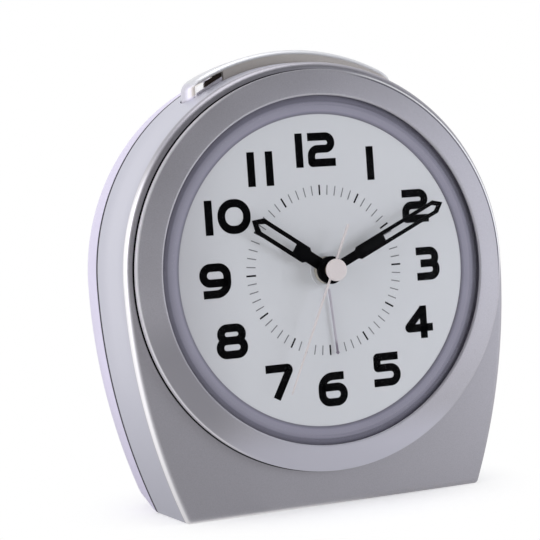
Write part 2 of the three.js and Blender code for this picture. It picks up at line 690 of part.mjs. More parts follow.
/** Sections of the rear shell, its outside or its inside by the wall. */
function rearSections(wall, front) {
  const sections = [{ y: front, points: caseOutline(partingFront, wall, wall, FOOT_ROUND) }];
  for (const angle of quarterTurn(REAR_STEPS)) {
    const y = partingRear + REAR_STRAIGHT + (REAR_ROUND_DEPTH - wall) * Math.sin(angle);
    const inset = wall + REAR_ROUND_INSET * (1 - Math.cos(angle));
    const floorRun = THREE.MathUtils.clamp(y + wall - caseBack + REAR_FLOOR_ROUND, 0, REAR_FLOOR_ROUND);
    const floor = wall + REAR_FLOOR_ROUND - Math.sqrt(REAR_FLOOR_ROUND ** 2 - floorRun ** 2);
    const grown = Math.min(1, (y - partingRear) / (REAR_STRAIGHT * 2));
    const foot = FOOT_ROUND + (REAR_FOOT_ROUND - FOOT_ROUND) * grown;
    sections.push({ y, points: caseOutline(y, inset, floor, foot) });
  }
  return sections;
}

const bayFront = backInside - 2 * BATTERY_RADIUS - 2 * FIT;
const bayTop = BAY_LOW + BAY_TALL;
const buzzerPlace = [0, DIAL_HEIGHT + BUZZER_HEIGHT];

function buildRearCase() {
  const outside = loft(rearSections(0, partingRear));
  const inside = loft(rearSections(WALL, partingRear - THROUGH));
  const lip = join(
    caseBand(WALL + FIT, WALL + FIT + LIP_WALL, bossFront, partingRear + LIP_LENGTH),
    caseBand(WALL / 2, WALL + FIT + LIP_WALL, partingRear, partingRear + LIP_LENGTH),
  );
  const bay = block([-BAY_HALF - BAY_WALL, bayFront - BAY_WALL, BAY_LOW - BAY_WALL],
    [BAY_HALF + BAY_WALL, backInside + WALL / 2, bayTop + BAY_WALL]);
  const bosses = caseScrews.map((place) => rod(POST_RADIUS + FIT * 2, bossFront, caseBack, SMALL, place));
  const whole = loft([bossFront, partingRear].map((y) => (
    { y, points: caseOutline(y, WALL + FIT, WALL + FIT, FOOT_ROUND) })));
  const inCase = join(outside, whole);
  const holder = tube(BUZZER_RADIUS + FIT, BUZZER_RADIUS + FIT + BUZZER_WALL,
    backInside - BUZZER_TALL, backInside + WALL / 2, MEDIUM, buzzerPlace);
  const shell = join(cut(outside, inside), lip, common(bay, inCase), common(join(...bosses), inCase),
    common(holder, inCase));
  const bayRoom = block([-BAY_HALF, bayFront, BAY_LOW], [BAY_HALF, caseBack + THROUGH, bayTop]);
  const shanks = caseScrews.map((place) => (
    rod(screwHole, bossFront - THROUGH, screwSeat + THROUGH, SMALL, place)));
  const wells = caseScrews.map((place) => (
    rod(CASE_SCREW_HEAD + FIT, screwSeat, caseBack + THROUGH, SMALL, place)));
  const stems = [timeSetPlace, alarmSetPlace].map((place) => rod(KNOB_STEM + FIT, backInside - THROUGH,
    caseBack + THROUGH, COARSE, place));
  const soundPlaces = SOUND_RINGS.flatMap(([radius, count]) => (
    Array.from({ length: count }, (_, k) => placeFrom(buzzerPlace, radius, 360 * k / count))));
  const holes = soundPlaces.map((place) => (
    rod(SOUND_HOLE, backInside - THROUGH, caseBack + THROUGH, SMALL, place)));
  add('rear_case', cut(shell, bayRoom, ...shanks, ...wells, ...stems, ...holes), FINISHES.silverPale);
}

function buildFace() {
  const lipBack = -BEZEL_FRONT + BEZEL_LIP;
  const flangeEnd = lipBack + SEAT + LENS_FLANGE;
  const rimBack = CASE_FRONT - BEZEL_SHADOW;
  const face = BEZEL_PROFILE.map(([across, fall]) => (
    [BEZEL_INNER + (BEZEL_OUTER - BEZEL_INNER) * across, -BEZEL_FRONT + BEZEL_DROP * fall]));
  add('bezel_ring', turned([
    ...face, [BEZEL_OUTER, rimBack], [collarOuter, rimBack], [collarOuter, caseInside],
    [collarInner, caseInside], [collarInner, lipBack], [BEZEL_INNER, lipBack],
  ], FINE), FINISHES.silver);

  const domeRadius = (LENS_STEP_RADIUS ** 2 + LENS_CROWN ** 2) / (2 * LENS_CROWN);
  const apex = -LENS_STEP - LENS_CROWN;
  const dome = (r, depth) => apex + depth + domeRadius - Math.sqrt(domeRadius ** 2 - r ** 2);
  const shares = Array.from({ length: DOME_STEPS + 1 }, (_, k) => k / DOME_STEPS);
  const outer = shares.map((share) => LENS_STEP_RADIUS * share).map((r) => [r, dome(r, 0)]);
  const inner = shares.map((share) => lensShoulder * (1 - share)).map((r) => [r, dome(r, LENS_WALL)]);
  add('lens', turned([
    ...outer, [LENS_STEP_RADIUS, lipBack + SEAT], [STACK_RADIUS, lipBack + SEAT], [STACK_RADIUS, flangeEnd],
    [lensShoulder, flangeEnd], ...inner,
  ], FINE), FINISHES.lens);

  add('dial_surround', turned([
    [DIAL_VISIBLE, -SEAT], [DIAL_VISIBLE, -2 * SEAT], [lensShoulder, flangeEnd + SEAT],
    [STACK_RADIUS, flangeEnd + SEAT], [STACK_RADIUS, -SEAT],
  ], FINE), FINISHES.surround);
  add('dial', tube(neckBore, STACK_RADIUS, 0, DIAL_THICK, FINE), FINISHES.dial);
  const backlightBack = backlightFront + BACKLIGHT_THICK;
  add('dial_backlight', tube(neckBore, STACK_RADIUS, backlightFront, backlightBack, MEDIUM),
    FINISHES.backlight);
}

const standoffHeight = DIAL_HEIGHT + (BOARD_LOW + BOARD_HIGH) / 2;
const standoffPlaces = [[STANDOFF_OFFSET, standoffHeight], [-STANDOFF_OFFSET, standoffHeight]];
const standoffEnd = holderBack + STANDOFF_TALL;
const smallHole = SMALL_SCREW_SHANK + FIT;
const earPlaces = [1, -1].map((side) => [side * (MOVEMENT_SIZE / 2 + EAR_REACH / 2), DIAL_HEIGHT]);
const earScrewTip = holderFront + 2 * SMALL_SCREW_TIP;
const boardScrewTip = holderBack + SMALL_SCREW_TIP;

function buildHolder() {
  const rimInner = STACK_RADIUS - HOLDER_RIM;
  const body = turned([
    [neckOuter + FIT, holderFront], [STACK_RADIUS, holderFront], [STACK_RADIUS, flangeFront],
    [HOLDER_FLANGE, flangeFront], [HOLDER_FLANGE, flangeBack], [rimInner, flangeBack], [rimInner, holderBack],
    [neckOuter + FIT, holderBack],
  ], HIDDEN);
  const posts = standoffPlaces.map((place) => (
    rod(STANDOFF_RADIUS, holderBack - SEAT, standoffEnd, SMALL, place)));
  const postHoles = standoffPlaces.map((place) => (
    rod(smallHole, boardScrewTip - SMALL_SCREW_TIP, standoffEnd + THROUGH, SMALL, place)));
  const earHoles = earPlaces.map((place) => (
    rod(smallHole, earScrewTip - SMALL_SCREW_TIP, holderBack + THROUGH, SMALL, place)));
  add('dial_holder', cut(join(body, ...posts), ...postHoles, ...earHoles), FINISHES.darkPlastic);
}

/** Outline of a hand that points up: neck, wide skeleton blade and pointed end. */
function bladeShape({ length, width, neckWidth, frame, step, windowStart, boss }) {
  const [wide, neck] = [width / 2, neckWidth / 2];
  const stepStart = step - (wide - neck);
  const shape = shapeOf([
    [neck, boss / 2], [neck, stepStart], [wide, step], [wide, length - HAND_POINT], [0, length],
    [-wide, length - HAND_POINT], [-wide, step], [-neck, stepStart], [-neck, boss / 2],
  ]);
  const inner = wide - frame;
  const windowEnd = length - HAND_POINT;
  shape.holes.push(new THREE.Path([
    [-inner, windowStart], [-inner, windowEnd - inner], [0, windowEnd + inner / 2],
    [inner, windowEnd - inner], [inner, windowStart],
  ].map(([x, y]) => new THREE.Vector2(x, y))));
  return shape;
}

/** A hand made pointing to twelve, turned to its angle and set at its level in front of the dial. */
function handAt(geometry, angle) {
  return geometry.rotateY(THREE.MathUtils.degToRad(angle)).translate(0, 0, DIAL_HEIGHT);
}

/** A flat hand with a round boss on its pipe. */
function bladeHand({ name, shape, boss, pipe, level, angle, material }) {
  const [front, back] = [-level - HAND_THICK, -level];
  const whole = join(plate(shape, front, back), rod(boss, front, back, COARSE, [0, 0]));
  const bored = cut(whole, rod(pipe + HAND_FIT, front - THROUGH, back + THROUGH, COARSE, [0, 0]));
  add(name, handAt(bored, angle), material);
}

function buildHands() {
  bladeHand({
    name: 'hour_hand',
    shape: bladeShape({
      length: HOUR_LENGTH, width: HOUR_WIDE, neckWidth: HOUR_NECK, frame: HOUR_FRAME,
      step: HOUR_STEP, windowStart: HOUR_WINDOW, boss: HOUR_BOSS,
    }),
    boss: HOUR_BOSS, pipe: hourPipe, level: HOUR_LEVEL, angle: HOUR_ANGLE, material: FINISHES.black,
  });
  bladeHand({
    name: 'minute_hand',
    shape: bladeShape({
      length: MINUTE_LENGTH, width: MINUTE_WIDE, neckWidth: MINUTE_NECK, frame: MINUTE_FRAME,
      step: MINUTE_STEP, windowStart: MINUTE_WINDOW, boss: MINUTE_BOSS,
    }),
    boss: MINUTE_BOSS, pipe: minutePipe, level: MINUTE_LEVEL, angle: MINUTE_ANGLE, material: FINISHES.black,
  });
  const alarmHalf = ALARM_WIDTH / 2;
  bladeHand({
    name: 'alarm_hand', shape: shapeOf([
      [alarmHalf, ALARM_BOSS / 2], [alarmHalf, ALARM_LENGTH - 2 * ALARM_WIDTH],
      [ALARM_WIDTH, ALARM_LENGTH - ALARM_WIDTH], [0, ALARM_LENGTH],
      [-ALARM_WIDTH, ALARM_LENGTH - ALARM_WIDTH], [-alarmHalf, ALARM_LENGTH - 2 * ALARM_WIDTH],
      [-alarmHalf, ALARM_BOSS / 2],
    ]),
    boss: ALARM_BOSS, pipe: alarmPipe, level: ALARM_LEVEL, angle: ALARM_ANGLE, material: FINISHES.alarmHand,
  });
  const half = SECOND_WIDTH / 2;
  const [front, back] = [-SECOND_LEVEL - HAND_THICK, -SECOND_LEVEL];
  const capFront = back - SECOND_CAP_TALL;
  const needle = plate(shapeOf([
    [half, 0], [half / 2, SECOND_LENGTH], [-half / 2, SECOND_LENGTH], [-half, 0], [-half, -SECOND_TAIL],
    [half, -SECOND_TAIL],
  ]), front, back);
  const cap = turned([
    [0, capFront], [SECOND_CAP - HAND_THICK, capFront], [SECOND_CAP, capFront + HAND_THICK],
    [SECOND_CAP, back], [0, back],
  ], COARSE, [0, 0]);
  const socket = rod(SECOND_ARBOR + HAND_FIT, front, back + THROUGH, COARSE, [0, 0]);
  add('second_hand', handAt(cut(join(needle, cap), socket), SECOND_ANGLE), FINISHES.secondHand);
}

/** A thin arbor that runs in the train plate and the movement cover. */
function arbor(place) {
  return rod(PIVOT, trainFront, coverBack - FIT, SMALL, place);
}

/** A setting arbor: its front pivot runs in the plate, its back end passes the cover to take a knob. */
function settingArbor(place) {
  return turned([
    [0, plateFront + FIT], [PIVOT, plateFront + FIT], [PIVOT, plateBack + FIT],
    [SET_ARBOR, plateBack + FIT], [SET_ARBOR, coverBack + SET_ARBOR_REACH], [0, coverBack + SET_ARBOR_REACH],
  ], SMALL, place);
}

function buildWheels() {
  const module = MOTION_MODULE;
  const end = (layer) => layerFront(layer) + GEAR_THICK;
  const bored = (radius) => rod(radius, -LENS_STEP, coverBack, COARSE);

  add('alarm_wheel', cut(join(
    gear({
      teeth: ALARM_TEETH, module: ALARM_MODULE, layer: LAYERS.alarm, place: centre, mate: alarmSetPlace,
    }),
    rod(alarmPipe, -ALARM_LEVEL - HAND_THICK, end(LAYERS.alarm), COARSE),
  ), bored(alarmBore)), FINISHES.nylon);
  add('hour_wheel', cut(join(
    gear({
      teeth: HOUR_WHEEL_TEETH, module: hourModule, layer: LAYERS.hour, place: centre, mate: timeSetPlace,
    }),
    rod(hourPipe, -HOUR_LEVEL - HAND_THICK, end(LAYERS.hour), COARSE),
  ), bored(hourBore)), FINISHES.nylon);
  add('centre_wheel', cut(join(
    gear({
      teeth: CANNON_TEETH, module, layer: LAYERS.cannon, place: centre, mate: timeSetPlace, driver: true,
    }),
    gear({
      teeth: CENTRE_WHEEL_TEETH, module: centreModule, layer: LAYERS.centre, place: centre, mate: thirdPlace,
    }),
    rod(minutePipe, -MINUTE_LEVEL - HAND_THICK, end(LAYERS.centre), COARSE),
  ), bored(minuteBore)), FINISHES.brass);
  add('second_wheel', join(
    gear({
      teeth: SECOND_PINION_TEETH, module: THIRD_MODULE, layer: LAYERS.third, place: centre, mate: thirdPlace,
      driver: true,
    }),
    gear({
      teeth: SECOND_WHEEL_TEETH, module: FIFTH_MODULE, layer: LAYERS.second, place: centre, mate: fifthPlace,
    }),
    turned([
      [0, -SECOND_LEVEL - HAND_THICK + HAND_FIT], [SECOND_ARBOR, -SECOND_LEVEL - HAND_THICK + HAND_FIT],
      [SECOND_ARBOR, layerFront(LAYERS.third) - FIT], [PIVOT, layerFront(LAYERS.third) - FIT],
      [PIVOT, coverBack - FIT], [0, coverBack - FIT],
    ], COARSE),
  ), FINISHES.nylon);
  add('third_wheel', join(
    gear({
      teeth: THIRD_WHEEL_TEETH, module: THIRD_MODULE, layer: LAYERS.third, place: thirdPlace, mate: centre,
    }),
    gear({
      teeth: THIRD_PINION_TEETH, module: centreModule, layer: LAYERS.centre, place: thirdPlace, mate: centre,
      driver: true,
    }),
    arbor(thirdPlace),
  ), FINISHES.nylon);
  add('fifth_wheel', join(
    gear({
      teeth: FIFTH_WHEEL_TEETH, module: ROTOR_MODULE, layer: LAYERS.fifth,
      place: fifthPlace, mate: rotorPlace,
    }),
    gear({
      teeth: FIFTH_PINION_TEETH, module: FIFTH_MODULE, layer: LAYERS.second, place: fifthPlace, mate: centre,
      driver: true,
    }),
    arbor(fifthPlace),
  ), FINISHES.nylon);
  const magnetFront = layerFront(LAYERS.third) - (ROTOR_TALL - GEAR_THICK) / 2;
  add('rotor', join(
    gear({
      teeth: ROTOR_PINION_TEETH, module: ROTOR_MODULE, layer: LAYERS.fifth,
      place: rotorPlace, mate: fifthPlace, driver: true,
    }),
    rod(ROTOR_RADIUS, magnetFront, magnetFront + ROTOR_TALL, COARSE, rotorPlace),
    arbor(rotorPlace),
  ), FINISHES.steel);
  add('minute_wheel', join(
    gear({
      teeth: MINUTE_WHEEL_TEETH, module, layer: LAYERS.cannon, place: timeSetPlace, mate: centre,
    }),
    gear({
      teeth: MINUTE_PINION_TEETH, module: hourModule, layer: LAYERS.hour, place: timeSetPlace, mate: centre,
      driver: true,
    }),
    settingArbor(timeSetPlace),
  ), FINISHES.nylon);
  add('alarm_set_pinion', join(
    gear({
      teeth: ALARM_TEETH, module: ALARM_MODULE, layer: LAYERS.alarm, place: alarmSetPlace, mate: centre,
      driver: true,
    }),
    settingArbor(alarmSetPlace),
  ), FINISHES.nylon);
}

function buildMotor() {
  const [x, z] = rotorPlace;
  const [front, back] = [layerFront(LAYERS.third), layerFront(LAYERS.third) + GEAR_THICK];
  const ringRadius = ROTOR_RADIUS + STATOR_GAP;
  const rim = ringRadius + STATOR_RIM - ROTOR_RADIUS + STATOR_GAP;
  const half = COIL_LENGTH / 2 + FIT + STATOR_LEG;
  const bridgeLow = z - rim;
  const bridgeHigh = bridgeLow + STATOR_BRIDGE;
  const legLow = bridgeLow - COIL_SIZE - 2 * FIT;
  const shape = shapeOf([
    [x - half, legLow], [x - half + STATOR_LEG, legLow], [x - half + STATOR_LEG, bridgeLow],
    [x + half - STATOR_LEG, bridgeLow], [x + half - STATOR_LEG, legLow], [x + half, legLow],
    [x + half, bridgeHigh], [x + rim, bridgeHigh], [x + rim, z + rim], [x - rim, z + rim],
    [x - rim, bridgeHigh], [x - half, bridgeHigh],
  ]);
  const rotorRoom = rod(ringRadius, front - THROUGH, back + THROUGH, COARSE, rotorPlace);
  add('stator', cut(plate(shape, front, back), rotorRoom), FINISHES.steel);
  const middle = legLow + COIL_SIZE / 2;
  const coreFront = back + SEAT;
  const coreHalf = CORE_WIDTH / 2;
  const coreMiddle = coreFront + CORE_THICK / 2;
  add('coil_core', block([x - half, coreFront, middle - coreHalf],
    [x + half, coreFront + CORE_THICK, middle + coreHalf]), FINISHES.steel);
  const winding = roundedRectangle(COIL_SIZE, COIL_SIZE, COIL_CORNER);
  winding.holes.push(roundedRectangle(CORE_THICK + 2 * FIT, CORE_WIDTH + 2 * FIT, FIT));
  const coil = new THREE.ExtrudeGeometry(winding, { depth: COIL_LENGTH, bevelEnabled: false });
  coil.applyMatrix4(new THREE.Matrix4().makeBasis(
    new THREE.Vector3(0, 1, 0), new THREE.Vector3(0, 0, 1), new THREE.Vector3(1, 0, 0)));
  add('coil', coil.translate(x - COIL_LENGTH / 2, coreMiddle, middle), FINISHES.copper);
}

function buildMovement() {
  const pivotHole = PIVOT + FIT;
  const inner = [thirdPlace, fifthPlace, rotorPlace];
  const outline = roundedRectangle(MOVEMENT_SIZE, MOVEMENT_SIZE, MOVEMENT_CORNER);
  const ears = block([-MOVEMENT_SIZE / 2 - EAR_REACH, plateFront, DIAL_HEIGHT - EAR_HALF],
    [MOVEMENT_SIZE / 2 + EAR_REACH, plateBack, DIAL_HEIGHT + EAR_HALF]);
  const neck = rod(neckOuter, holderFront, plateBack, COARSE);
  const setting = [timeSetPlace, alarmSetPlace];
  const room = MOVEMENT_SIZE - 2 * MOVEMENT_WALL;
  const corner = MOVEMENT_SIZE / 2 - MOVEMENT_CORNER;
  const pillarPlaces = [
    [corner, DIAL_HEIGHT + corner], [-corner, DIAL_HEIGHT + corner], [-corner, DIAL_HEIGHT - corner],
  ];
  const frontPillars = pillarPlaces.map((place) => rod(PILLAR, plateFront, trainFront - SEAT, SMALL, place));
  const rearPillars = pillarPlaces.map((place) => rod(PILLAR, trainBack + SEAT, coverBack, SMALL, place));
  const plateHoles = [
    ...setting.map((place) => rod(pivotHole, plateFront - THROUGH, plateBack + THROUGH, SMALL, place)),
    ...earPlaces.map((place) => rod(smallHole, plateFront - THROUGH, plateBack + THROUGH, SMALL, place)),
    rod(neckBore, holderFront - THROUGH, plateBack + THROUGH, COARSE),
  ];
  const frame = join(plate(outline, plateFront, plateBack, centre), ears, neck, ...frontPillars);
  add('movement_plate', cut(frame, ...plateHoles), FINISHES.darkPlastic);

  const trainSize = room - 2 * FIT;
  const trainHoles = [
    ...inner.map((place) => rod(pivotHole, trainFront - THROUGH, trainBack + THROUGH, SMALL, place)),
    ...setting.map((place) => rod(SET_ARBOR + FIT, trainFront - THROUGH, trainBack + THROUGH, SMALL, place)),
    rod(minutePipe + FIT, trainFront - THROUGH, trainBack + THROUGH, COARSE),
  ];
  const trainOutline = roundedRectangle(trainSize, trainSize, MOVEMENT_CORNER - MOVEMENT_WALL);
  add('train_plate', cut(plate(trainOutline, trainFront, trainBack, centre), ...trainHoles), FINISHES.nylon);

  const cavityOutline = roundedRectangle(room, room, MOVEMENT_CORNER - MOVEMENT_WALL);
  const cavity = plate(cavityOutline, coverFront - THROUGH, coverInside, centre);
  const coverHoles = [
    ...[...inner, centre].map((place) => (
      rod(pivotHole, coverInside - THROUGH, coverBack + THROUGH, SMALL, place))),
    ...setting.map((place) => rod(SET_ARBOR + FIT, coverInside - THROUGH, coverBack + THROUGH, SMALL, place)),
  ];
  const cover = join(cut(plate(outline, coverFront, coverBack, centre), cavity), ...rearPillars);
  add('movement_cover', cut(cover, ...coverHoles), FINISHES.darkPlastic);
}

function buildSnooze() {
  const frontRound = quarterTurn(ROUND_STEPS).map((angle) => [
    barTop - BAR_ROUND * (1 - Math.sin(angle)), BAR_FRONT + BAR_ROUND * (1 - Math.cos(angle))]);
  const backRound = frontRound.map(([r, y]) => [r, 2 * barMiddle - y]).reverse();
  const skin = arched([[barUnder, BAR_FRONT], ...frontRound, ...backRound, [barUnder, barBack]], barPlan(0));
  const hollow = arched([
    [pocketUnder, BAR_FRONT], [barRoof, BAR_FRONT], [barRoof, barBack], [pocketUnder, barBack],
  ], barPlan(-BAR_WALL));
  const notch = common(
    tube(pocketUnder, barRoof, BAR_FRONT - THROUGH, barBack + THROUGH, ARCH),
    block([-NOTCH_FAR, BAR_FRONT - THROUGH, DIAL_HEIGHT + BOARD_LOW],
      [-NOTCH_NEAR, barBack + THROUGH, skyHeight]));
  const half = LEG_SIZE / 2;
  const legTop = heightOn(barRoof, LEG_OFFSET + half) + BAR_WALL / 2;
  const barbTop = heightOn(pocketUnder, LEG_OFFSET + half) - FIT;
  const barbLow = barbTop - LEG_BARB_TALL;
  const legs = [-LEG_OFFSET, LEG_OFFSET].flatMap((x) => [
    block([x - half, barMiddle - half, barbLow], [x + half, barMiddle + half, legTop]),
    block([x - half, barMiddle - half, barbLow], [x + half, barMiddle + half + LEG_BARB, barbTop]),
  ]);
  const plungerTop = DIAL_HEIGHT + barRoof + BAR_WALL / 2;
  const plunger = new THREE.CylinderGeometry(PLUNGER, PLUNGER, plungerTop - plungerEnd, SMALL)
    .rotateX(Math.PI / 2).translate(0, barMiddle, (plungerTop + plungerEnd) / 2);
  add('snooze_bar', join(cut(skin, hollow, notch), ...legs, plunger), FINISHES.silver);

  const paneRight = -NOTCH_NEAR - FIT;
  const paneFront = BAR_FRONT + SENSOR_WINDOW_SET_BACK;
  const pane = block([paneRight - SENSOR_WINDOW_WIDTH, paneFront, DIAL_HEIGHT + BOARD_LOW],
    [paneRight, paneFront + SENSOR_WINDOW_THICK, skyHeight]);
  const paneRoom = tube(barUnder + FIT, barRoof - FIT, BAR_FRONT, barBack, ARCH);
  add('sensor_window', common(pane, paneRoom), FINISHES.smoked);

  const springLow = DIAL_HEIGHT + pocketFloor + FIT;
  add('snooze_spring', coilSpring({
    start: new THREE.Vector3(0, barMiddle, springLow), direction: new THREE.Vector3(0, 0, 1),
    length: DIAL_HEIGHT + barRoof - FIT - springLow, from: SPRING_RADIUS, to: SPRING_RADIUS,
    wire: SPRING_WIRE, turns: SPRING_TURNS,
  }), FINISHES.steel);
  const sensorTop = heightOn(pocketFloor, LIGHT_SENSOR_OFFSET) - FIT;
  const [sensorRadius, sensorTall] = [LIGHT_SENSOR_RADIUS, LIGHT_SENSOR_TALL];
  const sensor = new THREE.CylinderGeometry(sensorRadius, sensorRadius, sensorTall, COARSE)
    .rotateX(Math.PI / 2).translate(-LIGHT_SENSOR_OFFSET, barMiddle, sensorTop - sensorTall / 2);
  add('light_sensor', sensor, FINISHES.brass);
}

function buildBoard() {
  const front = standoffEnd + FIT;
  const back = front + BOARD_THICK;
  const low = DIAL_HEIGHT + BOARD_LOW;
  const high = DIAL_HEIGHT + BOARD_HIGH;
  const top = back + FIT;
  const boardHoles = standoffPlaces.map((place) => (
    rod(smallHole, front - THROUGH, back + THROUGH, SMALL, place)));
  const board = block([-BOARD_HALF, front, low], [BOARD_HALF, back, high]);
  add('circuit_board', cut(board, ...boardHoles), FINISHES.board);
  const chipHalf = CHIP_SIZE / 2;
  add('control_chip', block([CHIP_OFFSET - chipHalf, top, standoffHeight - chipHalf],
    [CHIP_OFFSET + chipHalf, top + CHIP_THICK, standoffHeight + chipHalf]), FINISHES.darkPlastic);
  add('quartz_crystal', new THREE.CylinderGeometry(CRYSTAL_RADIUS, CRYSTAL_RADIUS, CRYSTAL_LENGTH, SMALL)
    .rotateZ(Math.PI / 2).translate(CRYSTAL_OFFSET, top + CRYSTAL_RADIUS, standoffHeight), FINISHES.steel);
  const button = new THREE.CylinderGeometry(SNOOZE_BUTTON, SNOOZE_BUTTON, SNOOZE_BUTTON_TALL + SEAT, SMALL)
    .rotateX(Math.PI / 2).translate(0, barMiddle, switchTop + (SNOOZE_BUTTON_TALL - SEAT) / 2);
  add('snooze_switch', join(button, block([-SNOOZE_SWITCH_HALF, top, switchTop - SNOOZE_SWITCH_TALL],
    [SNOOZE_SWITCH_HALF, barMiddle + SNOOZE_SWITCH_HALF, switchTop])), FINISHES.darkPlastic);
  standoffPlaces.forEach((place, k) => addScrew(`board_screw_${k + 1}`, {
    place, tip: boardScrewTip, seat: back + FIT, shank: SMALL_SCREW_SHANK, head: SMALL_SCREW_HEAD,
    headTall: SMALL_SCREW_HEAD_TALL,
  }));
}

/** A pan head screw driven from the back. */
function addScrew(name, { place, tip, seat, shank, head, headTall }) {
  add(name, turned([
    [0, tip], [shank, tip], [shank, seat], [head, seat], [head, seat + headTall / 2],
    [head * SCREW_CROWN, seat + headTall], [0, seat + headTall],
  ], SMALL, place), FINISHES.steel);
}

function buildScrews() {
  caseScrews.forEach((place, k) => addScrew(`case_screw_${k + 1}`, {
    place, tip: bossFront - CASE_SCREW_BITE, seat: screwSeat + FIT, shank: CASE_SCREW_SHANK,
    head: CASE_SCREW_HEAD, headTall: CASE_SCREW_HEAD_TALL,
  }));
  earPlaces.forEach((place, k) => addScrew(`movement_screw_${k + 1}`, {
    place, tip: earScrewTip, seat: plateBack + FIT, shank: SMALL_SCREW_SHANK, head: SMALL_SCREW_HEAD,
    headTall: SMALL_SCREW_HEAD_TALL,
  }));
}

function buildSideSwitch() {
  const knobFront = switchY - SWITCH_KNOB_DEPTH / 2;
  const knobX = Math.max(switchWallX, halfWidth(SWITCH_HEIGHT + SWITCH_TRAVEL)) + FIT;
  const knob = block([knobX, knobFront, SWITCH_HEIGHT - SWITCH_KNOB_TALL / 2],
    [knobX + SWITCH_KNOB_REACH, knobFront + SWITCH_KNOB_DEPTH, SWITCH_HEIGHT + SWITCH_KNOB_TALL / 2]);
  const stem = block(
    [knobX - SWITCH_STEM_LENGTH, switchY - SWITCH_STEM_DEPTH / 2, SWITCH_HEIGHT - SWITCH_STEM_TALL / 2],
    [knobX + SEAT, switchY + SWITCH_STEM_DEPTH / 2, SWITCH_HEIGHT + SWITCH_STEM_TALL / 2]);
  add('alarm_switch_knob', join(knob, stem), FINISHES.silver);
  const bodyLow = slotLow - SWITCH_BODY_MARGIN;
  const bodyHigh = slotHigh + SWITCH_BODY_MARGIN;
  const bodyX = halfWidth(bodyLow) - WALL - FIT;
  const stemRoom = block([knobX - SWITCH_STEM_LENGTH - FIT, switchY - slotHalfY, slotLow],
    [bodyX + THROUGH, switchY + slotHalfY, slotHigh]);
  add('alarm_switch_body', cut(block([bodyX - SWITCH_BODY_WIDE, switchY - SWITCH_BODY_DEPTH / 2, bodyLow],
    [bodyX, switchY + SWITCH_BODY_DEPTH / 2, bodyHigh]), stemRoom), FINISHES.darkPlastic);
}

/** A rod of the given outline turned about a line along X. */
function turnedAlongX(profile, segments, [x, y, z]) {
  const points = profile.map(([r, run]) => new THREE.Vector2(r, run));
  return new THREE.LatheGeometry(points, segments).rotateZ(-Math.PI / 2).translate(x, y, z);
}

function buildRearPieces() {
  const batteryY = bayFront + FIT + BATTERY_RADIUS;
  const batteryZ = BAY_LOW + BAY_TALL / 2;
  const plateX = BAY_HALF - FIT - CONTACT_THICK;
  const nubX = plateX - FIT;
  const backX = nubX - BATTERY_NUB - BATTERY_LENGTH;
  add('battery', turnedAlongX([
    [0, 0], [BATTERY_RADIUS, 0], [BATTERY_RADIUS, BATTERY_LENGTH], [BATTERY_NUB_RADIUS, BATTERY_LENGTH],
    [BATTERY_NUB_RADIUS, BATTERY_LENGTH + BATTERY_NUB], [0, BATTERY_LENGTH + BATTERY_NUB],
  ], MEDIUM, [backX, batteryY, batteryZ]), FINISHES.battery);
  add('contact_plate', block([plateX, batteryY - CONTACT_HALF, batteryZ - CONTACT_HALF],
    [plateX + CONTACT_THICK, batteryY + CONTACT_HALF, batteryZ + CONTACT_HALF]), FINISHES.steel);
  add('contact_spring', coilSpring({
    start: new THREE.Vector3(-BAY_HALF + FIT, batteryY, batteryZ), direction: new THREE.Vector3(1, 0, 0),
    length: backX - FIT + BAY_HALF - FIT, from: CONTACT_WIDE, to: CONTACT_NARROW,
    wire: CONTACT_WIRE, turns: CONTACT_TURNS,
  }), FINISHES.steel);

  const doorPlate = block([-BAY_HALF + FIT, caseBack - DOOR_THICK, BAY_LOW + FIT],
    [BAY_HALF - FIT, caseBack, bayTop - FIT]);
  const grooves = Array.from({ length: DOOR_RIB_COUNT }, (_, k) => {
    const height = bayTop - FIT - DOOR_RIB_PITCH * (k + 1);
    return block([-DOOR_RIB_HALF, caseBack - DOOR_RIB, height - DOOR_RIB / 2],
      [DOOR_RIB_HALF, caseBack + THROUGH, height + DOOR_RIB / 2]);
  });
  add('battery_door', cut(doorPlate, ...grooves), FINISHES.silverPale);

  const fluted = shapeOf(Array.from({ length: KNOB_FLUTES * 2 }, (_, k) => {
    const angle = Math.PI * k / KNOB_FLUTES;
    const radius = KNOB_RADIUS - (k % 2) * KNOB_FLUTE;
    return [radius * Math.cos(angle), radius * Math.sin(angle)];
  }));
  const knobFront = caseBack + KNOB_GAP;
  for (const [name, place] of [['time_set_knob', timeSetPlace], ['alarm_set_knob', alarmSetPlace]]) {
    const stemFront = coverBack + FIT;
    const socketEnd = coverBack + SET_ARBOR_REACH + FIT;
    const cap = plate(fluted, knobFront, knobFront + KNOB_TALL, place);
    const stem = rod(KNOB_STEM, stemFront, knobFront + FIT, COARSE, place);
    const socket = rod(SET_ARBOR + FIT, stemFront - THROUGH, socketEnd, SMALL, place);
    add(name, cut(join(cap, stem), socket), FINISHES.darkPlastic);
  }

  add('buzzer', turned([
    [0, backInside - BUZZER_TALL], [BUZZER_RADIUS, backInside - BUZZER_TALL],
    [BUZZER_RADIUS, backInside - FIT], [BUZZER_RADIUS - BUZZER_WALL, backInside - FIT],
    [BUZZER_RADIUS - BUZZER_WALL, backInside - FIT - BUZZER_WALL], [0, backInside - FIT - BUZZER_WALL],
  ], MEDIUM, buzzerPlace), FINISHES.darkPlastic);
}

buildFrontCase();
buildRearCase();
buildFace();
buildHolder();
buildHands();
buildWheels();
buildMotor();
buildMovement();
buildSnooze();
buildBoard();
buildScrews();
buildSideSwitch();
buildRearPieces();

// Centre the clock's box front to back over the origin
const box = new THREE.Box3().setFromObject(clock, true);
clock.position.y = -(box.min.y + box.max.y) / 2;
clock.updateMatrixWorld(true);

export default clock;
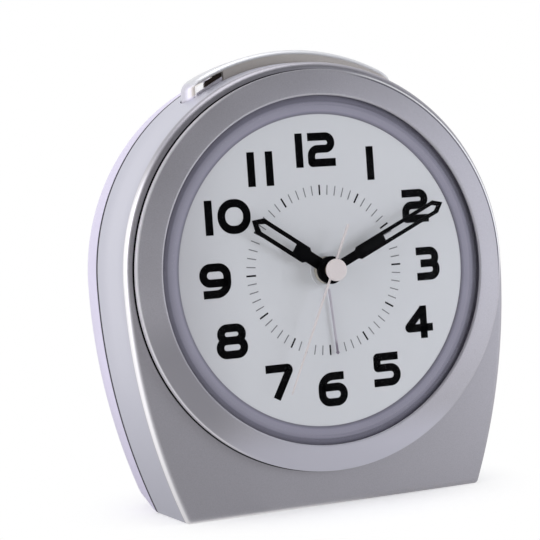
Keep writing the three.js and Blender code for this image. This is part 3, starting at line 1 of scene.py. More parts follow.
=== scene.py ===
"""Quartz alarm clock: fine surfaces, finishes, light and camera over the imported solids.

Sizes are millimetres. Positions along Y are counted from the dial's face, backwards.
"""
import json
import logging
import math
from dataclasses import dataclass, field
from enum import Enum
from typing import Iterable, Sequence

import bmesh
import bpy
from mathutils import Matrix, Vector


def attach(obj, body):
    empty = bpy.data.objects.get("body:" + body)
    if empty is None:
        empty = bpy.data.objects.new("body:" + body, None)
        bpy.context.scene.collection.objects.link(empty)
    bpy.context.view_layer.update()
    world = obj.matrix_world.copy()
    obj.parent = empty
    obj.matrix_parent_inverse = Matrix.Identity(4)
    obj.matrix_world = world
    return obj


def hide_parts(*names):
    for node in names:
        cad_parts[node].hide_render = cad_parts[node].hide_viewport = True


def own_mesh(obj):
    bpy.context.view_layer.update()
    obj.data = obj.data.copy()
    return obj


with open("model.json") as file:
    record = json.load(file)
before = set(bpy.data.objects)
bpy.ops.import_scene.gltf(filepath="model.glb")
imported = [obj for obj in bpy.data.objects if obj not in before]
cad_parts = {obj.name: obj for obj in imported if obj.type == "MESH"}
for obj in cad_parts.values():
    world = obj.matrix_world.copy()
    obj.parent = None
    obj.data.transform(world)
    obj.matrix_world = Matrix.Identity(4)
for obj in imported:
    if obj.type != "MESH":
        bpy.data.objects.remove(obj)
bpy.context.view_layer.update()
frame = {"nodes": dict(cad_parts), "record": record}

log = logging.getLogger("clock")

MM = 0.001
FACE = -22.85            # the dial's face in the row's frame
DIAL_HEIGHT = 64.5       # dial centre above the table
FULL_TURN = 2.0 * math.pi
WELD = 1e-7
SIDE_SHARE = 0.499       # how much of a side the round of one corner may take
NEAR_NOUGHT = 0.5        # a whole number below this is nought
FAR = 200.0              # past every end of the clock
LEAST_ROUGHNESS = 0.02
SLOW_DETAIL = 3.0
FINE_DETAIL = 2.0
TONE_REACH = 2.0         # noise keeps near its middle, so the two end tones lie this much further apart
COLOUR_LEVELS = 255.0
CURVE_KNEE = 0.04045     # a screen's curve is straight up to here and a shifted power from here on
CURVE_SLOPE = 12.92
CURVE_SHIFT = 0.055
CURVE_POWER = 2.4

Flat = tuple[float, float]
Point = tuple[float, float, float]
Colour = tuple[float, float, float, float]
Piece = bpy.types.Object
Socket = bpy.types.NodeSocket

WHITE: Colour = (1.0, 1.0, 1.0, 1.0)


class Cut(Enum):
    """How a tool acts on a piece."""

    JOIN = "UNION"
    REMOVE = "DIFFERENCE"
    KEEP = "INTERSECT"


class Body(Enum):
    """The bodies that pieces ride on."""

    CASE = "case"
    SECOND = "second"
    MINUTE = "minute"
    HOUR = "hour"
    ALARM = "alarm"
    TIME_SET = "time_set"
    ALARM_SET = "alarm_set"
    SNOOZE = "snooze"
    SWITCH = "side_switch"
    DOOR = "door"


# Meshes

def to_row(point: Point) -> Vector:
    """Turns millimetres counted from the dial's face into metres in the row's frame."""
    return Vector((point[0], point[1] + FACE, point[2])) * MM


def new_piece(name: str, points: Sequence[Point], faces: Sequence[Sequence[int]]) -> Piece:
    """Makes a piece from corners and faces, with doubles merged and faces turned outwards.

    Args:
        name: The piece's name.
        points: Corners in millimetres.
        faces: Corner numbers of each face.

    Returns:
        The new object, at the origin.
    """
    mesh = bpy.data.meshes.new(name)
    mesh.from_pydata([to_row(point) for point in points], [], [list(face) for face in faces])
    piece = bpy.data.objects.new(name, mesh)
    bpy.context.scene.collection.objects.link(piece)
    work = bmesh.new()
    work.from_mesh(mesh)
    bmesh.ops.remove_doubles(work, verts=work.verts, dist=WELD)
    bmesh.ops.recalc_face_normals(work, faces=work.faces)
    work.to_mesh(mesh)
    work.free()
    return piece


def skin(name: str, rings: Sequence[Sequence[Point]], looped: bool = False) -> Piece:
    """Makes a closed skin through rings of corners.

    Args:
        name: The piece's name.
        rings: Rings with the same number of corners.
        looped: Whether the last ring joins the first one. Otherwise the end rings are capped.

    Returns:
        The new object.
    """
    count = len(rings[0])
    points = [point for ring in rings for point in ring]
    faces: list[list[int]] = []
    for step in range(len(rings) if looped else len(rings) - 1):
        near = step * count
        far = ((step + 1) % len(rings)) * count
        for k in range(count):
            turn = (k + 1) % count
            faces.append([near + k, near + turn, far + turn, far + k])
    if not looped:
        faces.append(list(range(count)))
        faces.append(list(range(len(points) - count, len(points))))
    return new_piece(name, points, faces)


def around(count: int) -> list[float]:
    """Returns equally spaced angles round a full turn."""
    return [FULL_TURN * k / count for k in range(count)]


def circle(radius: float, y: float, count: int, centre: Flat = (0.0, DIAL_HEIGHT)) -> list[Point]:
    """Returns a ring of corners about a line along Y."""
    x, z = centre
    return [(x + radius * math.cos(a), y, z + radius * math.sin(a)) for a in around(count)]


def turned(name: str, profile: Sequence[Flat], count: int, centre: Flat = (0.0, DIAL_HEIGHT)) -> Piece:
    """Turns a profile of (radius, y) corners about a line along Y.

    Args:
        name: The piece's name.
        profile: Corners that start and end on the line, or a closed outline clear of it.
        count: Corners round the line.
        centre: Where the line stands in X and Z.

    Returns:
        The new object.
    """
    on_line = profile[0][0] < WELD
    return skin(name, [circle(radius, y, count, centre) for radius, y in profile], looped=not on_line)


def edge_round(radius: float, steps: int) -> list[Flat]:
    """Returns a rounded edge from a face to a side, as distances from the side and from the face."""
    angles = [math.pi / 2.0 * k / steps for k in range(steps + 1)]
    return [(radius * (1.0 - math.sin(a)), radius * (1.0 - math.cos(a))) for a in angles]


def rod(radius: float, y0: float, y1: float) -> list[Flat]:
    """Returns the profile of a plain rod between two depths."""
    return [(0.0, y0), (radius, y0), (radius, y1), (0.0, y1)]


def arc_height(x: float, reach: float) -> float:
    """Returns the height over the table of an arc about the dial's line, at a place across."""
    return DIAL_HEIGHT + math.sqrt(reach ** 2 - x ** 2)


def prism(name: str, outline: Sequence[Flat], y0: float, y1: float) -> Piece:
    """Carries a flat outline in X and Z from y0 to y1 and returns the new object."""
    return skin(name, [[(x, y, z) for x, z in outline] for y in (y0, y1)])


def block(name: str, low: Point, high: Point) -> Piece:
    """Returns a box between two corners, used as a cutter or before its edges are eased."""
    outline = [(low[0], low[2]), (high[0], low[2]), (high[0], high[2]), (low[0], high[2])]
    return prism(name, outline, low[1], high[1])


def rounded(corners: Sequence[Point], closed: bool = True, steps: int = 6) -> list[Flat]:
    """Rounds the corners of a flat path.

    Args:
        corners: Corners as (u, v, radius of the round).
        closed: Whether the path closes on itself.
        steps: Faces in each round.

    Returns:
        The points of the rounded path.
    """
    path: list[Flat] = []
    count = len(corners)
    for k, (u, v, radius) in enumerate(corners):
        at_end = not closed and k in (0, count - 1)
        if radius <= 0.0 or at_end:
            path.append((u, v))
            continue
        here = Vector((u, v))
        before = Vector(corners[k - 1][:2]) - here
        after = Vector(corners[(k + 1) % count][:2]) - here
        half = before.angle(after) / 2.0
        reach = min(radius / math.tan(half), SIDE_SHARE * before.length, SIDE_SHARE * after.length)
        radius = reach * math.tan(half)
        middle = here + (before.normalized() + after.normalized()).normalized() * (radius / math.sin(half))
        start = here + before.normalized() * reach - middle
        turn = start.angle_signed(here + after.normalized() * reach - middle)
        for step in range(steps + 1):
            spoke = start.copy()
            spoke.rotate(Matrix.Rotation(-turn * step / steps, 2))
            path.append((middle.x + spoke.x, middle.y + spoke.y))
    return path


def settle(piece: Piece) -> None:
    """Turns what the modifiers make into the piece's own mesh.

    Args:
        piece: The piece.
    """
    graph = bpy.context.evaluated_depsgraph_get()
    mesh = bpy.data.meshes.new_from_object(piece.evaluated_get(graph))
    piece.modifiers.clear()
    old = piece.data
    piece.data = mesh
    bpy.data.meshes.remove(old)
    mesh.name = piece.name


def combine(piece: Piece, tool: Piece, how: Cut) -> None:
    """Works on a piece with a tool, which is used up.

    Args:
        piece: The piece.
        tool: What is joined to it, removed from it or kept where both are.
        how: Which of the three.
    """
    modifier = piece.modifiers.new("tool", "BOOLEAN")
    modifier.operation = how.value
    modifier.solver = "EXACT"
    modifier.object = tool
    settle(piece)
    if not piece.data.polygons:
        raise RuntimeError(f"{tool.name} left nothing of {piece.name}")
    bpy.data.objects.remove(tool)


def ease(piece: Piece, width: float, steps: int = 2, angle: float = 40.0) -> None:
    """Rounds the sharp edges of a piece.

    Args:
        piece: The piece.
        width: How far the round reaches from each edge, in millimetres.
        steps: Faces across a round.
        angle: Edges that bend less than this many degrees stay as they are.
    """
    modifier = piece.modifiers.new("round", "BEVEL")
    modifier.width = width * MM
    modifier.segments = steps
    modifier.limit_method = "ANGLE"
    modifier.angle_limit = math.radians(angle)
    modifier.use_clamp_overlap = True
    settle(piece)


def smooth(piece: Piece, angle: float = 35.0) -> None:
    """Shades a piece smooth, with its normals weighed by face size.

    Args:
        piece: The piece.
        angle: Edges that bend more than this many degrees stay sharp.
    """
    piece.data.shade_smooth()
    piece.data.set_sharp_from_angle(angle=math.radians(angle))
    modifier = piece.modifiers.new("normals", "WEIGHTED_NORMAL")
    modifier.keep_sharp = True
    settle(piece)


# Finishes

def linear(colour: str) -> Colour:
    """Turns a written colour into light values by the usual curve of screens.

    Args:
        colour: Six hexadecimal digits.

    Returns:
        Red, green, blue and full cover.
    """
    parts = [int(colour[k:k + 2], 16) / COLOUR_LEVELS for k in (0, 2, 4)]
    light = [part / CURVE_SLOPE if part <= CURVE_KNEE
             else ((part + CURVE_SHIFT) / (1.0 + CURVE_SHIFT)) ** CURVE_POWER for part in parts]
    return (light[0], light[1], light[2], 1.0)


def scaled(colour: Sequence[float], factor: float) -> Colour:
    """Returns a colour made lighter or darker, kept between black and white."""
    return (*(max(0.0, min(1.0, part * factor)) for part in colour[:3]), 1.0)


class NodeSheet:
    """A node tree with short calls to add and link nodes."""

    MIX_INPUTS = (0, 6, 7)   # share, first colour and second colour of a mix
    MIX_RESULT = 2
    RANGE_INPUTS = ("Value", "From Min", "From Max", "To Min", "To Max")

    def __init__(self, tree: bpy.types.NodeTree) -> None:
        """Starts with an empty tree."""
        self.tree = tree
        self.tree.nodes.clear()

    def add(self, kind: str, values: dict[str, object] | None = None, **settings: object) -> bpy.types.Node:
        """Adds a node.

        Args:
            kind: Its type.
            values: What goes into its named inputs.
            settings: Its own settings.

        Returns:
            The new node.
        """
        node = self.tree.nodes.new(kind)
        for name, value in settings.items():
            setattr(node, name, value)
        for name, value in (values or {}).items():
            self.put(value, node.inputs[name])
        return node

    def link(self, source: Socket, target: Socket) -> None:
        """Links one socket to another."""
        self.tree.links.new(source, target)

    def put(self, value: object, target: Socket) -> None:
        """Puts a value into an input.

        Args:
            value: A socket to link, or a number, colour or vector to set.
            target: The input.
        """
        if isinstance(value, Socket):
            self.link(value, target)
        else:
            target.default_value = value

    def math(self, operation: str, first: object, second: object) -> Socket:
        """Adds a sum.

        Args:
            operation: The kind of sum.
            first: A socket or a number.
            second: A socket or a number.

        Returns:
            The result.
        """
        node = self.add("ShaderNodeMath", operation=operation)
        for socket, value in zip(node.inputs, (first, second)):
            self.put(value, socket)
        return node.outputs[0]

    def remap(self, value: Socket, source: Flat, target: Flat, eased: bool = False) -> Socket:
        """Carries a value from one range to another and holds it at the ends.

        Args:
            value: The value.
            source: Start and end of its range.
            target: What these become.
            eased: Whether the change starts and ends softly.

        Returns:
            The new value.
        """
        values = dict(zip(self.RANGE_INPUTS, (value, *source, *target)))
        kind = "SMOOTHSTEP" if eased else "LINEAR"
        return self.add("ShaderNodeMapRange", values, interpolation_type=kind).outputs[0]

    def blend(self, share: object, first: object, second: object, how: str = "MIX") -> Socket:
        """Adds a mix of two colours.

        Args:
            share: How much of the second one.
            first: A socket or a colour.
            second: A socket or a colour.
            how: The way of mixing.

        Returns:
            The mixed colour.
        """
        node = self.add("ShaderNodeMix", data_type="RGBA", blend_type=how)
        for number, value in zip(self.MIX_INPUTS, (share, first, second)):
            self.put(value, node.inputs[number])
        return node.outputs[self.MIX_RESULT]

    def cover(self, share: Socket, under: Socket, over: Socket) -> Socket:
        """Adds a mix of two shaders.

        Args:
            share: How much of the second one.
            under: The first shader.
            over: The second shader.

        Returns:
            The mixed shader.
        """
        node = self.add("ShaderNodeMixShader")
        for socket, value in zip(node.inputs, (share, under, over)):
            self.link(value, socket)
        return node.outputs[0]

    def show(self, shader: Socket, kind: str = "ShaderNodeOutputMaterial") -> None:
        """Ends the tree in a shader, or in what another kind of output takes."""
        self.link(shader, self.add(kind).inputs[0])


class MaterialSheet(NodeSheet):
    """The node tree of a new material, with the object's own coordinates at hand."""

    def __init__(self, name: str) -> None:
        """Makes the material.

        Args:
            name: Its name.
        """
        self.material = bpy.data.materials.new(name)
        self.material.use_nodes = True
        super().__init__(self.material.node_tree)
        self.place = self.add("ShaderNodeTexCoord").outputs["Object"]

    def noise(self, size: float, detail: float) -> Socket:
        """Returns noise with marks of a size in millimetres and so many finer layers."""
        values = {"Scale": 1.0 / (size * MM), "Detail": detail, "Vector": self.place}
        return self.add("ShaderNodeTexNoise", values).outputs[0]

    def glow(self, strength: object) -> Socket:
        """Returns a white light of a strength, which is a number or a socket."""
        return self.add("ShaderNodeEmission", {"Color": WHITE, "Strength": strength}).outputs[0]


@dataclass(frozen=True)
class Finish:
    """A moulded, painted or metal surface with its fine variation."""

    name: str
    colour: str
    roughness: float
    metallic: float = 0.0
    drift: float = 0.04   # slow change of tone over the surface
    drift_size: float = 14.0
    grain: float = 0.04   # fine speckle
    grain_size: float = 0.35
    gloss_drift: float = 0.05
    bump: float = 0.12
    bump_depth: float = 0.01
    specular: float = 0.5
    alpha: float = 1.0
    # glow: light the surface gives off though it is no lamp, which is painted light wherever it is set
    glow: float = 0.0

    def tone(self, sheet: MaterialSheet, slow: Socket, fine: Socket) -> Socket:
        """Makes the surface's colour.

        Args:
            sheet: The material's nodes.
            slow: Noise for the slow change of tone.
            fine: Noise for the speckle.

        Returns:
            The colour.
        """
        spread = self.drift + self.grain
        share = self.drift / spread
        layers = ((slow, share), (fine, 1.0 - share))
        weight = sheet.math("ADD", *(sheet.math("MULTIPLY", noise, part) for noise, part in layers))
        base = linear(self.colour)
        ends = [scaled(base, 1.0 + side * TONE_REACH * spread) for side in (-1.0, 1.0)]
        return sheet.blend(weight, *ends)

    def material(self) -> bpy.types.Material:
        """Builds the finish.

        Returns:
            The finish as a material.
        """
        sheet = MaterialSheet(self.name)
        slow = sheet.noise(self.drift_size, SLOW_DETAIL)
        fine = sheet.noise(self.grain_size, FINE_DETAIL)
        smoothest = max(LEAST_ROUGHNESS, self.roughness - self.gloss_drift)
        bump = sheet.add("ShaderNodeBump", {
            "Strength": self.bump, "Distance": self.bump_depth * MM, "Height": fine})
        shader = sheet.add("ShaderNodeBsdfPrincipled", {
            "Base Color": self.tone(sheet, slow, fine),
            "Metallic": self.metallic,
            "Roughness": sheet.remap(slow, (0.0, 1.0), (smoothest, self.roughness + self.gloss_drift)),
            "Specular IOR Level": self.specular,
            "Alpha": self.alpha,
            "Emission Color": linear(self.colour),
            "Emission Strength": self.glow,
            "Normal": bump.outputs[0],
        })
        sheet.show(shader.outputs[0])
        return sheet.material


class Along(Enum):
    """What a zone of a finish is measured along, in millimetres."""

    DEPTH = "back from the dial's face"
    RADIUS = "out from the dial's line"
    HEIGHT = "up from the table"
    ACROSS = "to the right of the middle"

    def measure(self, sheet: MaterialSheet) -> Socket:
        """Makes the measure.

        Args:
            sheet: The material's nodes.

        Returns:
            Millimetres along the measure.
        """
        parts = sheet.add("ShaderNodeSeparateXYZ", {"Vector": sheet.place})
        if self is Along.DEPTH:
            return sheet.math("SUBTRACT", sheet.math("DIVIDE", parts.outputs["Y"], MM), FACE)
        if self is Along.HEIGHT:
            return sheet.math("DIVIDE", parts.outputs["Z"], MM)
        if self is Along.ACROSS:
            return sheet.math("DIVIDE", parts.outputs["X"], MM)
        height = sheet.math("SUBTRACT", parts.outputs["Z"], DIAL_HEIGHT * MM)
        squares = [sheet.math("MULTIPLY", part, part) for part in (parts.outputs["X"], height)]
        return sheet.math("DIVIDE", sheet.math("SQRT", sheet.math("ADD", *squares), 0.0), MM)


@dataclass(frozen=True)
class Span:
    """A stretch between two places along a measure, with soft ends."""

    along: Along
    start: float
    end: float
    soft: float = 0.15

    def mask(self, sheet: MaterialSheet) -> Socket:
        """Makes a value that is one inside the stretch and fades to nought at its ends.

        Args:
            sheet: The material's nodes.

        Returns:
            The value.
        """
        run = self.along.measure(sheet)
        shares = [sheet.remap(run, (middle - self.soft, middle + self.soft), ends, eased=True)
                  for middle, ends in ((self.start, (0.0, 1.0)), (self.end, (1.0, 0.0)))]
        return sheet.math("MULTIPLY", *shares)


@dataclass(frozen=True)
class Zone:
    """A part of a finish with a tone of its own, where all its spans meet."""

    colour: str
    spans: tuple[Span, ...]

    def mask(self, sheet: MaterialSheet) -> Socket:
        """Makes a value that is one inside the zone.

        Args:
            sheet: The material's nodes.

        Returns:
            The value.
        """
        share, *others = (span.mask(sheet) for span in self.spans)
        for other in others:
            share = sheet.math("MULTIPLY", share, other)
        return share


@dataclass(frozen=True)
class BandedFinish(Finish):
    """A finish with bands of a second colour across it, as on a wound coil or a wrapped cell."""

    second: str = "808080"
    pitch: float = 1.0
    share: float = 0.5
    offset: float = 0.0

    def tone(self, sheet: MaterialSheet, slow: Socket, fine: Socket) -> Socket:
        """Makes the banded colour.

        Args:
            sheet: The material's nodes.
            slow: Slow noise.
            fine: Fine noise.

        Returns:
            The colour.
        """
        plain = super().tone(sheet, slow, fine)
        run = sheet.math("ADD", Along.ACROSS.measure(sheet), self.offset)
        step = sheet.math("FRACT", sheet.math("DIVIDE", run, self.pitch), 0.0)
        return sheet.blend(sheet.math("LESS_THAN", step, self.share), plain, linear(self.second))


@dataclass(frozen=True)
class ZonedFinish(Finish):
    """A finish with zones of their own tone: painted highlights on lit edges, painted shade in gaps and
    painted light and shade on sides, besides some of a part's own colours.
    """

    zones: tuple[Zone, ...] = ()

    def tone(self, sheet: MaterialSheet, slow: Socket, fine: Socket) -> Socket:
        """Makes the zoned colour.

        Args:
            sheet: The material's nodes.
            slow: Slow noise.
            fine: Fine noise.

        Returns:
            The colour.
        """
        colour = super().tone(sheet, slow, fine)
        for zone in self.zones:
            colour = sheet.blend(zone.mask(sheet), colour, linear(zone.colour))
        return colour


@dataclass(frozen=True)
class RadialFinish(Finish):
    """A finish whose tone changes with the distance from the dial's line."""

    bands: tuple[tuple[float, str], ...] = ()

    def tone(self, sheet: MaterialSheet, slow: Socket, fine: Socket) -> Socket:
        """Makes the colour from the bands.

        Args:
            sheet: The material's nodes.
            slow: Slow noise.
            fine: Fine noise.

        Returns:
            The colour.
        """
        plain = super().tone(sheet, slow, fine)
        low, high = self.bands[0][0], self.bands[-1][0]
        reach = Along.RADIUS.measure(sheet)
        ramp = sheet.add("ShaderNodeValToRGB")
        sheet.link(sheet.math("DIVIDE", sheet.math("SUBTRACT", reach, low), high - low), ramp.inputs[0])
        stops = ramp.color_ramp.elements
        while len(stops) < len(self.bands):
            stops.new(1.0)
        for stop, (radius, colour) in zip(stops, self.bands):
            stop.position = (radius - low) / (high - low)
            stop.color = linear(colour)
        lift = sheet.add("ShaderNodeVectorMath", operation="DIVIDE")
        sheet.link(plain, lift.inputs[0])
        lift.inputs[1].default_value = linear(self.colour)[:3]
        return sheet.blend(1.0, ramp.outputs[0], lift.outputs[0], "MULTIPLY")


class Finishes:
    """The clock's finishes, each made once."""

    FLAKES = {"drift": 0.02, "grain": 0.075, "grain_size": 0.3}
    FINE_FLAKES = {"drift": 0.02, "grain": 0.03, "grain_size": 0.3}
    # where the bezel's rim carries a painted dark line and a painted highlight, at upper right
    UPPER_RIGHT = (Span(Along.HEIGHT, 62.0, FAR, 6.0), Span(Along.ACROSS, 14.0, FAR, 6.0))

    SILVER = ZonedFinish("silver_paint", "b4b2b9", 0.4, metallic=0.75, **FLAKES, zones=(
        # painted highlight: the front edge's round near white along its lower left
        Zone("fffdff", (Span(Along.DEPTH, 1.3, 3.0, 0.3), Span(Along.HEIGHT, -FAR, 92.0, 12.0),
                        Span(Along.ACROSS, -70.0, 0.0, 20.0))),
        # painted shade: the front edge's round darker along the top, damping its reflection of the top lamp
        Zone("a09ea6", (Span(Along.DEPTH, 0.9, 3.3, 0.3), Span(Along.HEIGHT, 98.0, FAR, 10.0))),
        # painted light: the sides lighter than the front of the same paint
        Zone("c7c7d3", (Span(Along.DEPTH, 3.3, FAR, 0.5),)),
        # painted light: a lighter band along the middle of the sides
        Zone("d1d1dc", (Span(Along.DEPTH, 5.0, 18.0, 4.0), Span(Along.HEIGHT, 45.0, 105.0, 18.0))),
        # painted shade at the parting line, on the front shell's back edge
        Zone("44424e", (Span(Along.DEPTH, 24.5, FAR, 0.2),)),
        # painted shadow: black on the front face round the bezel, for the shade in the gap
        Zone("08080a", (Span(Along.RADIUS, -FAR, 55.25, 0.1),))))
    SWITCH = Finish("silver_switch", "b4b2b9", 0.4, metallic=0.75, **FINE_FLAKES)
    SILL = Finish("silver_sill", "d0cdd6", 0.4, metallic=0.5, **FINE_FLAKES)
    RING = ZonedFinish("silver_ring", "bcbac1", 0.4, metallic=0.66, **FLAKES, zones=(
        # painted light: the bezel lighter at the bottom
        Zone("d0cfda", (Span(Along.HEIGHT, -FAR, 21.0, 6.0),)),
        # painted shade: the bezel darker at the lower left
        Zone("a6a4ab", (Span(Along.ACROSS, -60.0, -30.0, 8.0), Span(Along.HEIGHT, 22.0, 52.0, 8.0))),
        # painted highlight on the bezel's outer edge along the left
        Zone("f4f2f6", (Span(Along.RADIUS, 54.6, FAR, 0.2), Span(Along.ACROSS, -FAR, -28.0, 8.0))),
        # painted shade: a thin dark line near the rim, for the shade of the gap to the case
        Zone("66646e", (Span(Along.RADIUS, 54.1, 54.5, 0.08), *UPPER_RIGHT)),
        # painted highlight: the rim's outer edge white, for the case's lit edge
        Zone("fafafc", (Span(Along.RADIUS, 54.5, FAR, 0.08), *UPPER_RIGHT))))
    SILVER_PALE = ZonedFinish("silver_pale_paint", "e4def4", 0.42, metallic=0.6, **FINE_FLAKES, zones=(
        # painted shade at the parting line, on the rear shell's front edge
        Zone("44424e", (Span(Along.DEPTH, -FAR, 25.9, 0.2),)),))
    BAR = ZonedFinish("bar_paint", "c4beb8", 0.4, metallic=0.5, **FINE_FLAKES, zones=(
        # painted highlight: the bar's top paler than its front, as lit from above
        Zone("d9dade", (Span(Along.RADIUS, 60.5, FAR, 0.3),)),
        Zone("d8d6e0", (Span(Along.ACROSS, -FAR, -30.6, 0.3),)),
        Zone("bfbcc8", (Span(Along.RADIUS, -FAR, 58.3, 0.3), Span(Along.ACROSS, -FAR, -29.6, 0.1)))))
    # painted light: the insert glows though it is no lamp, so it reads white in the notch's shade
    INSERT = Finish("white_insert", "fafafa", 0.5, drift=0.01, grain=0.01, glow=0.6)
    # The darker bands at both edges are painted shade: under the bezel's lip and the lens's step, and at the
    # step down to the dial.
    SURROUND = RadialFinish("surround_satin", "8b8898", 0.42, metallic=0.2, drift=0.02, grain=0.02, bands=(
        (42.6, "7c7a86"), (43.1, "868492"), (43.7, "a3a1b1"), (45.1, "a3a1b0"), (45.9, "9a98a7"),
        (46.3, "7f7d8c"), (46.9, "7d7b8a"), (47.4, "72707e"), (48.4, "64626f")))
    CLEAR = Finish("clear_lens", "1c1c22", 0.05, drift=0.01, grain=0.01, gloss_drift=0.02, bump=0.02,
                   alpha=0.03)
    # The dial's glow is painted light, which thins the hands' shadows on it.
    DIAL = ZonedFinish("dial_print_white", "d5d7da", 0.62, glow=0.15, drift=0.012, drift_size=30.0,
                       grain=0.008, bump=0.06, zones=(
                           # painted shade: the dial darker towards the left
                           Zone("b6b6bb", (Span(Along.ACROSS, -60.0, -36.0, 14.0),)),))
    INK = Finish("black_ink", "040405", 0.6, drift=0.1, grain=0.1, bump=0.05, specular=0.04)
    MARK = Finish("mark_ink", "2a2a2d", 0.6, drift=0.05, grain=0.05, bump=0.05, specular=0.04)
    TICK = Finish("grey_ink", "86878b", 0.55, drift=0.05, grain=0.05, bump=0.05)
    HAND_BLACK = Finish("hand_black", "040405", 0.45, drift=0.08, grain=0.06, bump=0.06, specular=0.04)
    SECOND = Finish("second_hand_pale", "ece4e2", 0.48, drift=0.02, grain=0.02)
    CAP = Finish("hub_cap_pale", "f2e9e7", 0.45, drift=0.02, grain=0.015)
    ALARM = ZonedFinish("alarm_hand_mauve", "c2bcc6", 0.45, drift=0.03, grain=0.03, zones=(
        Zone("e2e4e7", (Span(Along.RADIUS, -FAR, 5.2),)),
        Zone("8b8290", (Span(Along.RADIUS, 20.0, FAR, 1.0),))))
    SMOKED = Finish("smoked_window", "2c1f18", 0.16, drift=0.1, grain=0.05, bump=0.02)
    NYLON = Finish("nylon", "e6e2d6", 0.55, drift=0.03, grain=0.03, specular=0.4)
    BRASS = Finish("brass", "b8964a", 0.32, metallic=1.0, drift=0.05, grain=0.05)
    STEEL = Finish("steel", "a4a7ab", 0.32, metallic=1.0, drift=0.05, grain=0.06)
    COPPER = BandedFinish("copper_wire", "b0622f", 0.35, metallic=0.9, drift=0.05, grain=0.06,
                          second="6e371a", pitch=0.35, share=0.22)
    BOARD = BandedFinish("board_lacquer", "2f6a3a", 0.4, drift=0.05, grain=0.04, second="3f8a50", pitch=2.4,
                         share=0.3)
    DARK = Finish("dark_plastic", "2b2b2e", 0.5, drift=0.06, grain=0.08, grain_size=0.5, bump=0.25)
    KNOB = Finish("knob_plastic", "3a3a3e", 0.46, drift=0.05, grain=0.08, grain_size=0.45, bump=0.25)
    BACKLIGHT = Finish("backlight_sheet", "bfe8c8", 0.5, drift=0.03, grain=0.02)
    CELL = BandedFinish("cell_sleeve", "33373c", 0.3, metallic=0.3, drift=0.03, grain=0.02, second="b07a3c",
                        pitch=60.0, share=0.2, offset=-14.0)

    made: dict[str, bpy.types.Material] = {}

    @classmethod
    def of(cls, finish: Finish) -> bpy.types.Material:
        """Looks up a finish's material and builds it when it is first asked for.

        Args:
            finish: The finish.

        Returns:
            Its material.
        """
        if finish.name not in cls.made:
            cls.made[finish.name] = finish.material()
        return cls.made[finish.name]


def seat(piece: Piece, body: Body, slot: str, finish: Finish, *nodes: str) -> None:
    """Gives a piece its finish and its body, and hides the solids that it stands for.

    Args:
        piece: The finished piece.
        body: The body that it rides on.
        slot: The record's material slot. Not used.
        finish: Its surface.
        nodes: Solids that it replaces.
    """
    piece.data.materials.clear()
    piece.data.materials.append(Finishes.of(finish))
    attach(piece, body.value)
    if nodes:
        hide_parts(*nodes)
    log.info("%s: %d faces on %s", piece.name, len(piece.data.polygons), body.value)


# Repeats

class CopyTree(NodeSheet):
    """A geometry tree with named sizes that ends in real, dressed geometry."""

    def __init__(self, name: str, finish: Finish) -> None:
        """Makes the tree's input and output.

        Args:
            name: The tree's name.
            finish: The copies' surface.
        """
        super().__init__(bpy.data.node_groups.new(name, "GeometryNodeTree"))
        self.finish = finish
        self.tree.interface.new_socket("Geometry", in_out="INPUT", socket_type="NodeSocketGeometry")
        self.tree.interface.new_socket("Geometry", in_out="OUTPUT", socket_type="NodeSocketGeometry")
        self.entry = self.add("NodeGroupInput")
        self.values: dict[str, object] = {}

    def size(self, name: str, kind: str, value: object) -> Socket:
        """Adds a named input.

        Args:
            name: Its name.
            kind: Its type.
            value: What it is set to when the tree runs.

        Returns:
            Its socket in the tree.
        """
        socket = self.tree.interface.new_socket(name, in_out="INPUT", socket_type=kind)
        self.values[socket.identifier] = value
        return self.entry.outputs[name]

    def end(self, geometry: Socket) -> None:
        """Ends the tree: makes the copies real and dresses them.

        Args:
            geometry: The copies.
        """
        real = self.add("GeometryNodeRealizeInstances", {"Geometry": geometry})
        dress = self.add("GeometryNodeSetMaterial", {
            "Geometry": real.outputs[0], "Material": Finishes.of(self.finish)})
        self.show(dress.outputs[0], "NodeGroupOutput")

    def run(self, host: Piece) -> Piece:
        """Runs the tree.

        Args:
            host: The object that the tree works on.

        Returns:
            The host, as a plain mesh.
        """
        modifier = host.modifiers.new("copies", "NODES")
        modifier.node_group = self.tree
        for identifier, value in self.values.items():
            modifier[identifier] = value
        settle(host)
        return host


